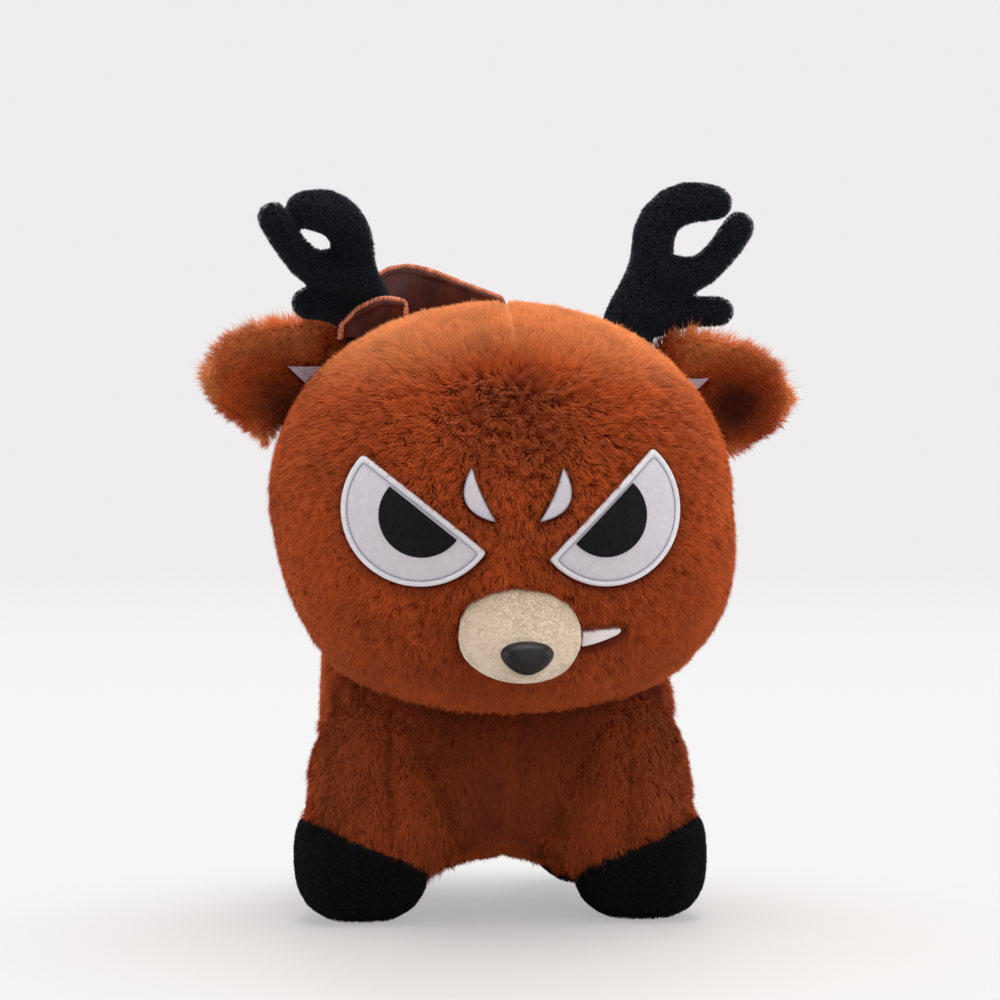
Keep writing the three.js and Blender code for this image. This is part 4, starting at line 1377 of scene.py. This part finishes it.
def head_shape(strands):
    x = strands.roots[:, 0]
    z = strands.roots[:, 2]
    low = 1 - smooth_step(z, LOW_FACE_Z, LOW_FACE_Z + LOW_FACE_HEIGHT)
    beside, aside = cleared_round_patches(strands, low)
    upright = 1 - smooth_step(z, FACE_TOP_Z - 10 * MM, FACE_TOP_Z + 10 * MM)
    upright *= on_front(strands, 0.2, 0.8)
    from_whorl_middle = np.hypot(x - FACE_MIDDLE_X, z - WHORL_Z) / WHORL_REACH
    calm = 1 - WHORL_CALM * np.exp(-(from_whorl_middle**2)) * upright
    strands.ways = strands.ways * calm[:, None] + turned(strands, FACE_TURN * upright)
    strands.ways = unit(strands.ways + aside)
    strands.rises += FACE_RISE_CHANGE * upright
    strands.falls += FACE_FALL_CHANGE * upright
    stand_over_muzzle(strands)
    line = 1 - smooth_step(np.abs(x - CROWN_SEAM_X), 0.8 * SEAM_WIDTH, 1.6 * SEAM_WIDTH)
    line *= smooth_step(z, CROWN_SEAM_FOOT, CROWN_SEAM_FOOT + 8 * MM)
    strands.lengths *= 1 - 0.45 * line
    # Painted light over the crown, and painted shade above the brow, beside the patches and low on the face;
    # the crown seam is lighter
    crown = smooth_step(z, CROWN_FOOT, CROWN_TOP)
    from_middle = (x - FACE_MIDDLE_X) / BROW_SHADE_REACH
    from_brow = (z - BROW_SHADE_Z) / BROW_SHADE_REACH
    shade = np.exp(-(from_middle**2) - from_brow**2)
    dark = BROW_SHADE * shade + (PATCH_SHADE + LOW_SHADE * low) * beside + LOW_SHADE * low
    strands.painted_light_and_seams = (CROWN_LIGHT * crown - dark) * (1 - line) + line


def body_shape(strands):
    line = 1 - smooth_step(np.abs(strands.roots[:, 0] - CHEST_SEAM_X), SEAM_WIDTH, 3 * SEAM_WIDTH)
    strands.lengths *= 1 - 0.2 * line
    # Painted shade darkens the chest where it faces the front; the seam is a little lighter
    strands.painted_light_and_seams = -CHEST_SHADE * on_front(strands) + 0.15 * line


def leg_shape_for(spot):
    """A leg's pile parts at its seam, is short on top and hangs out over the boot."""
    seam_x = LEG_SEAM_X[spot.split("_")[1]]
    boot_surface = node_surface(f"boot_{spot}")

    def leg_shape(strands):
        front = on_front(strands)
        from_seam = np.abs(strands.roots[:, 0] - seam_x)
        line = front * (1 - smooth_step(from_seam, SEAM_WIDTH / 2, 2 * SEAM_WIDTH))
        top = smooth_step(strands.normals[:, 2], 0.1, 0.6)
        fringe = 1 - smooth_step(boot_surface.nearest(strands.roots)[2], 1.5 * MM, 7 * MM)
        strands.lengths *= 1 - 0.2 * line - 0.4 * top + 0.25 * fringe
        strands.falls = strands.falls + 0.15 * top - 0.25 * fringe
        # Painted shade on the front of the leg, and a little more along the seam's crease
        strands.painted_light_and_seams = -LEG_SHADE * front - 0.2 * line

    return leg_shape


def ear_shape_for(side):
    low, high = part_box(f"ear_{side}")
    hollow_place, hollow_shade = EAR_HOLLOWS[side]
    middle = (low + high) / 2
    half = (high - low) / 2

    def ear_shape(strands):
        roots = strands.roots
        share = np.abs((roots - np.array(middle)) / np.array(half))
        rim = smooth_step(np.maximum(share[:, 0], share[:, 2]), 0.62, 0.98)
        spans = np.linalg.norm(roots[:, [0, 2]] - np.array(hollow_place), axis=1)
        hollow = on_front(strands, 0.1, 0.6) * np.exp(-((spans / EAR_HOLLOW_REACH) ** 2))
        upper = smooth_step(strands.normals[:, 2], 0.2, 0.7)
        lower = smooth_step(-strands.normals[:, 2], 0.2, 0.7)
        above = smooth_step(roots[:, 2], middle.z, middle.z + 0.8 * half.z)
        inner = 1 - smooth_step(np.abs(roots[:, 0] - ear_root_x(side)), 4 * MM, 17 * MM)
        strands.lengths *= 0.85 + 0.2 * rim - 0.15 * hollow + 0.35 * upper + 0.6 * upper * inner
        strands.rises -= 0.1 * rim
        strands.falls = strands.falls - 0.35 * rim - 0.25 * upper
        # Painted light along the rim and over the upper half, and painted shade on the lower side, near the
        # root and in the hollow
        painted_light_and_seams = np.clip(0.15 + rim + 0.45 * above - 0.2 * lower, 0, 1)
        strands.painted_light_and_seams = painted_light_and_seams * (1 - inner) - 0.25 * inner - hollow_shade * hollow
        strands.ways = unit(strands.ways + turned(strands, EAR_TURN * rim))

    return ear_shape


def muzzle_shape(strands):
    """The muzzle's pile is a little darker on top, where it faces the light, and lighter underneath: painted
    shade on top and painted light underneath.
    """
    strands.painted_light_and_seams = -strands.normals[:, 2]


grow_pile(head, from_whorl, head_shape)
grow_pile(body, down, body_shape, SEED + 1)
for number, (spot, leg) in enumerate(legs.items()):
    comb = down_in_front if spot.startswith("front") else down
    grow_pile(leg, comb, leg_shape_for(spot), SEED + 10 + number)
for number, boot in enumerate(boots.values()):
    grow_pile(boot, down, seed=SEED + 20 + number, floor=0.2 * MM)
grow_pile(tail, up, seed=SEED + 30)
grow_pile(muzzle, from_nose, muzzle_shape, SEED + 31)
for number, side in enumerate(SIDES):
    grow_pile(antlers[side], down, seed=SEED + 40 + number)
    grow_pile(ears[side], ear_comb(side), ear_shape_for(side), SEED + 50 + number)

# Studio

BACKGROUND = linear((239, 237, 238))
FLOOR_GLOW = linear((247, 246, 246))
FLOOR_RADII = (6.0, 2.5, 1.0, 0.3)
FLOOR_CORNERS = 96
# The share of the backdrop's own glow that lightens the floor's shadows
FLOOR_LIFT = 0.42
# The shadow is full up to one distance from its middle, and gone at another
SHADOW_MIDDLE = (0.0, -0.08, 0.0)
SHADOW_FULL = 0.09
SHADOW_GONE = 0.25
AMBIENT_COLOUR = (1.0, 0.985, 0.97, 1)
AMBIENT_STRENGTH = 0.34


def floor_material():
    """Pale floor that takes the shadow near the toy and fades into the backdrop further out."""
    nodes = Nodes("studio_floor", Specular_IOR_Level=0.2)
    grain = nodes.noise(6, 2)
    nodes.roughness(grain, 0.5, 0.65)
    nodes.mottled(grain, 0.2, 0.8, (196, 191, 189), (202, 198, 196))
    offset = nodes.add("VectorMath", {0: nodes.place, 1: SHADOW_MIDDLE}, operation="SUBTRACT").outputs[0]
    distance = nodes.add("VectorMath", {0: offset}, operation="LENGTH").outputs["Value"]
    inputs = {"Value": distance, "From Min": SHADOW_FULL, "From Max": SHADOW_GONE, "To Min": FLOOR_LIFT}
    fade = nodes.add("MapRange", inputs, interpolation_type="SMOOTHSTEP").outputs["Result"]
    seen = nodes.add("LightPath").outputs["Is Camera Ray"]
    share = nodes.add("Math", {0: fade, 1: seen}, operation="MULTIPLY").outputs[0]
    reach = nodes.part(distance, FLOOR_RADII[-1], FLOOR_RADII[0], interpolation_type="SMOOTHSTEP")
    glow = nodes.add("Emission", {"Color": nodes.mix(reach, FLOOR_GLOW, BACKGROUND)}).outputs[0]
    blend = nodes.add("MixShader", {0: share, 1: nodes.shader.outputs[0], 2: glow}).outputs[0]
    nodes.tree.links.new(blend, nodes.tree.nodes["Material Output"].inputs["Surface"])
    return nodes.material


def studio_floor():
    angles = ring_of_angles(FLOOR_CORNERS)
    circle = np.stack([np.cos(angles), np.sin(angles), np.zeros(FLOOR_CORNERS)], 1)
    rows = [radius * circle for radius in FLOOR_RADII]
    last = (len(rows) - 1) * FLOOR_CORNERS
    faces = ring_faces(len(rows), FLOOR_CORNERS) + [tuple(range(last, last + FLOOR_CORNERS))]
    dressed("floor", new_mesh("floor", np.concatenate(rows), faces), floor_material())


def studio_world():
    """Soft light from all round, with a plain backdrop that only the camera sees."""
    world = bpy.data.worlds.new("studio")
    bpy.context.scene.world = world
    world.use_nodes = True
    tree = world.node_tree
    ambient = tree.nodes["Background"]
    ambient.inputs["Color"].default_value = AMBIENT_COLOUR
    ambient.inputs["Strength"].default_value = AMBIENT_STRENGTH
    backdrop = add_node(tree, "Background", {"Color": BACKGROUND, "Strength": 1.0})
    seen = add_node(tree, "LightPath").outputs["Is Camera Ray"]
    chooser = add_node(tree, "MixShader", {0: seen, 1: ambient.outputs[0], 2: backdrop.outputs[0]})
    tree.links.new(chooser.outputs[0], tree.nodes["World Output"].inputs["Surface"])


def softbox(name, place, size, power, colour, aim=(0, 0, 0.14)):
    lamp = bpy.data.lights.new(name, "AREA")
    lamp.shape = "RECTANGLE"
    lamp.size, lamp.size_y = size
    lamp.energy = power
    lamp.color = colour
    holder = placed(name, lamp)
    holder.location = place
    holder.rotation_euler = (Vector(aim) - Vector(place)).to_track_quat("-Z", "Y").to_euler()


def photo_camera():
    lens = bpy.data.cameras.new("camera")
    lens.lens = CAMERA_LENS_MM
    lens.sensor_width = SENSOR_WIDTH_MM
    lens.clip_start = 0.05
    camera = placed("camera", lens)
    ahead = Vector((math.sin(CAMERA_YAW), math.cos(CAMERA_YAW), 0))
    camera.location = CAMERA_AIM - ahead * CAMERA_DISTANCE
    camera.rotation_euler = (math.pi / 2, 0, -CAMERA_YAW)
    bpy.context.scene.camera = camera


studio_floor()
studio_world()
softbox("key_above", (0.05, 0.0, 1.25), (1.3, 0.8), 16.5, (1.0, 0.99, 0.97))
softbox("fill_front", (0.3, -1.6, 0.6), (1.0, 1.0), 7.5, (1.0, 0.99, 0.98))
softbox("side_left", (-1.3, -0.15, 0.45), (0.8, 1.0), 6.5, (1.0, 0.99, 1.0))
softbox("side_right", (1.3, -0.15, 0.45), (0.8, 1.0), 6.5, (1.0, 0.99, 0.98))
softbox("rim_behind", (0.3, 1.3, 0.9), (1.2, 0.7), 7, (1.0, 1.0, 1.0))
photo_camera()
bpy.context.scene.view_settings.view_transform = "Standard"
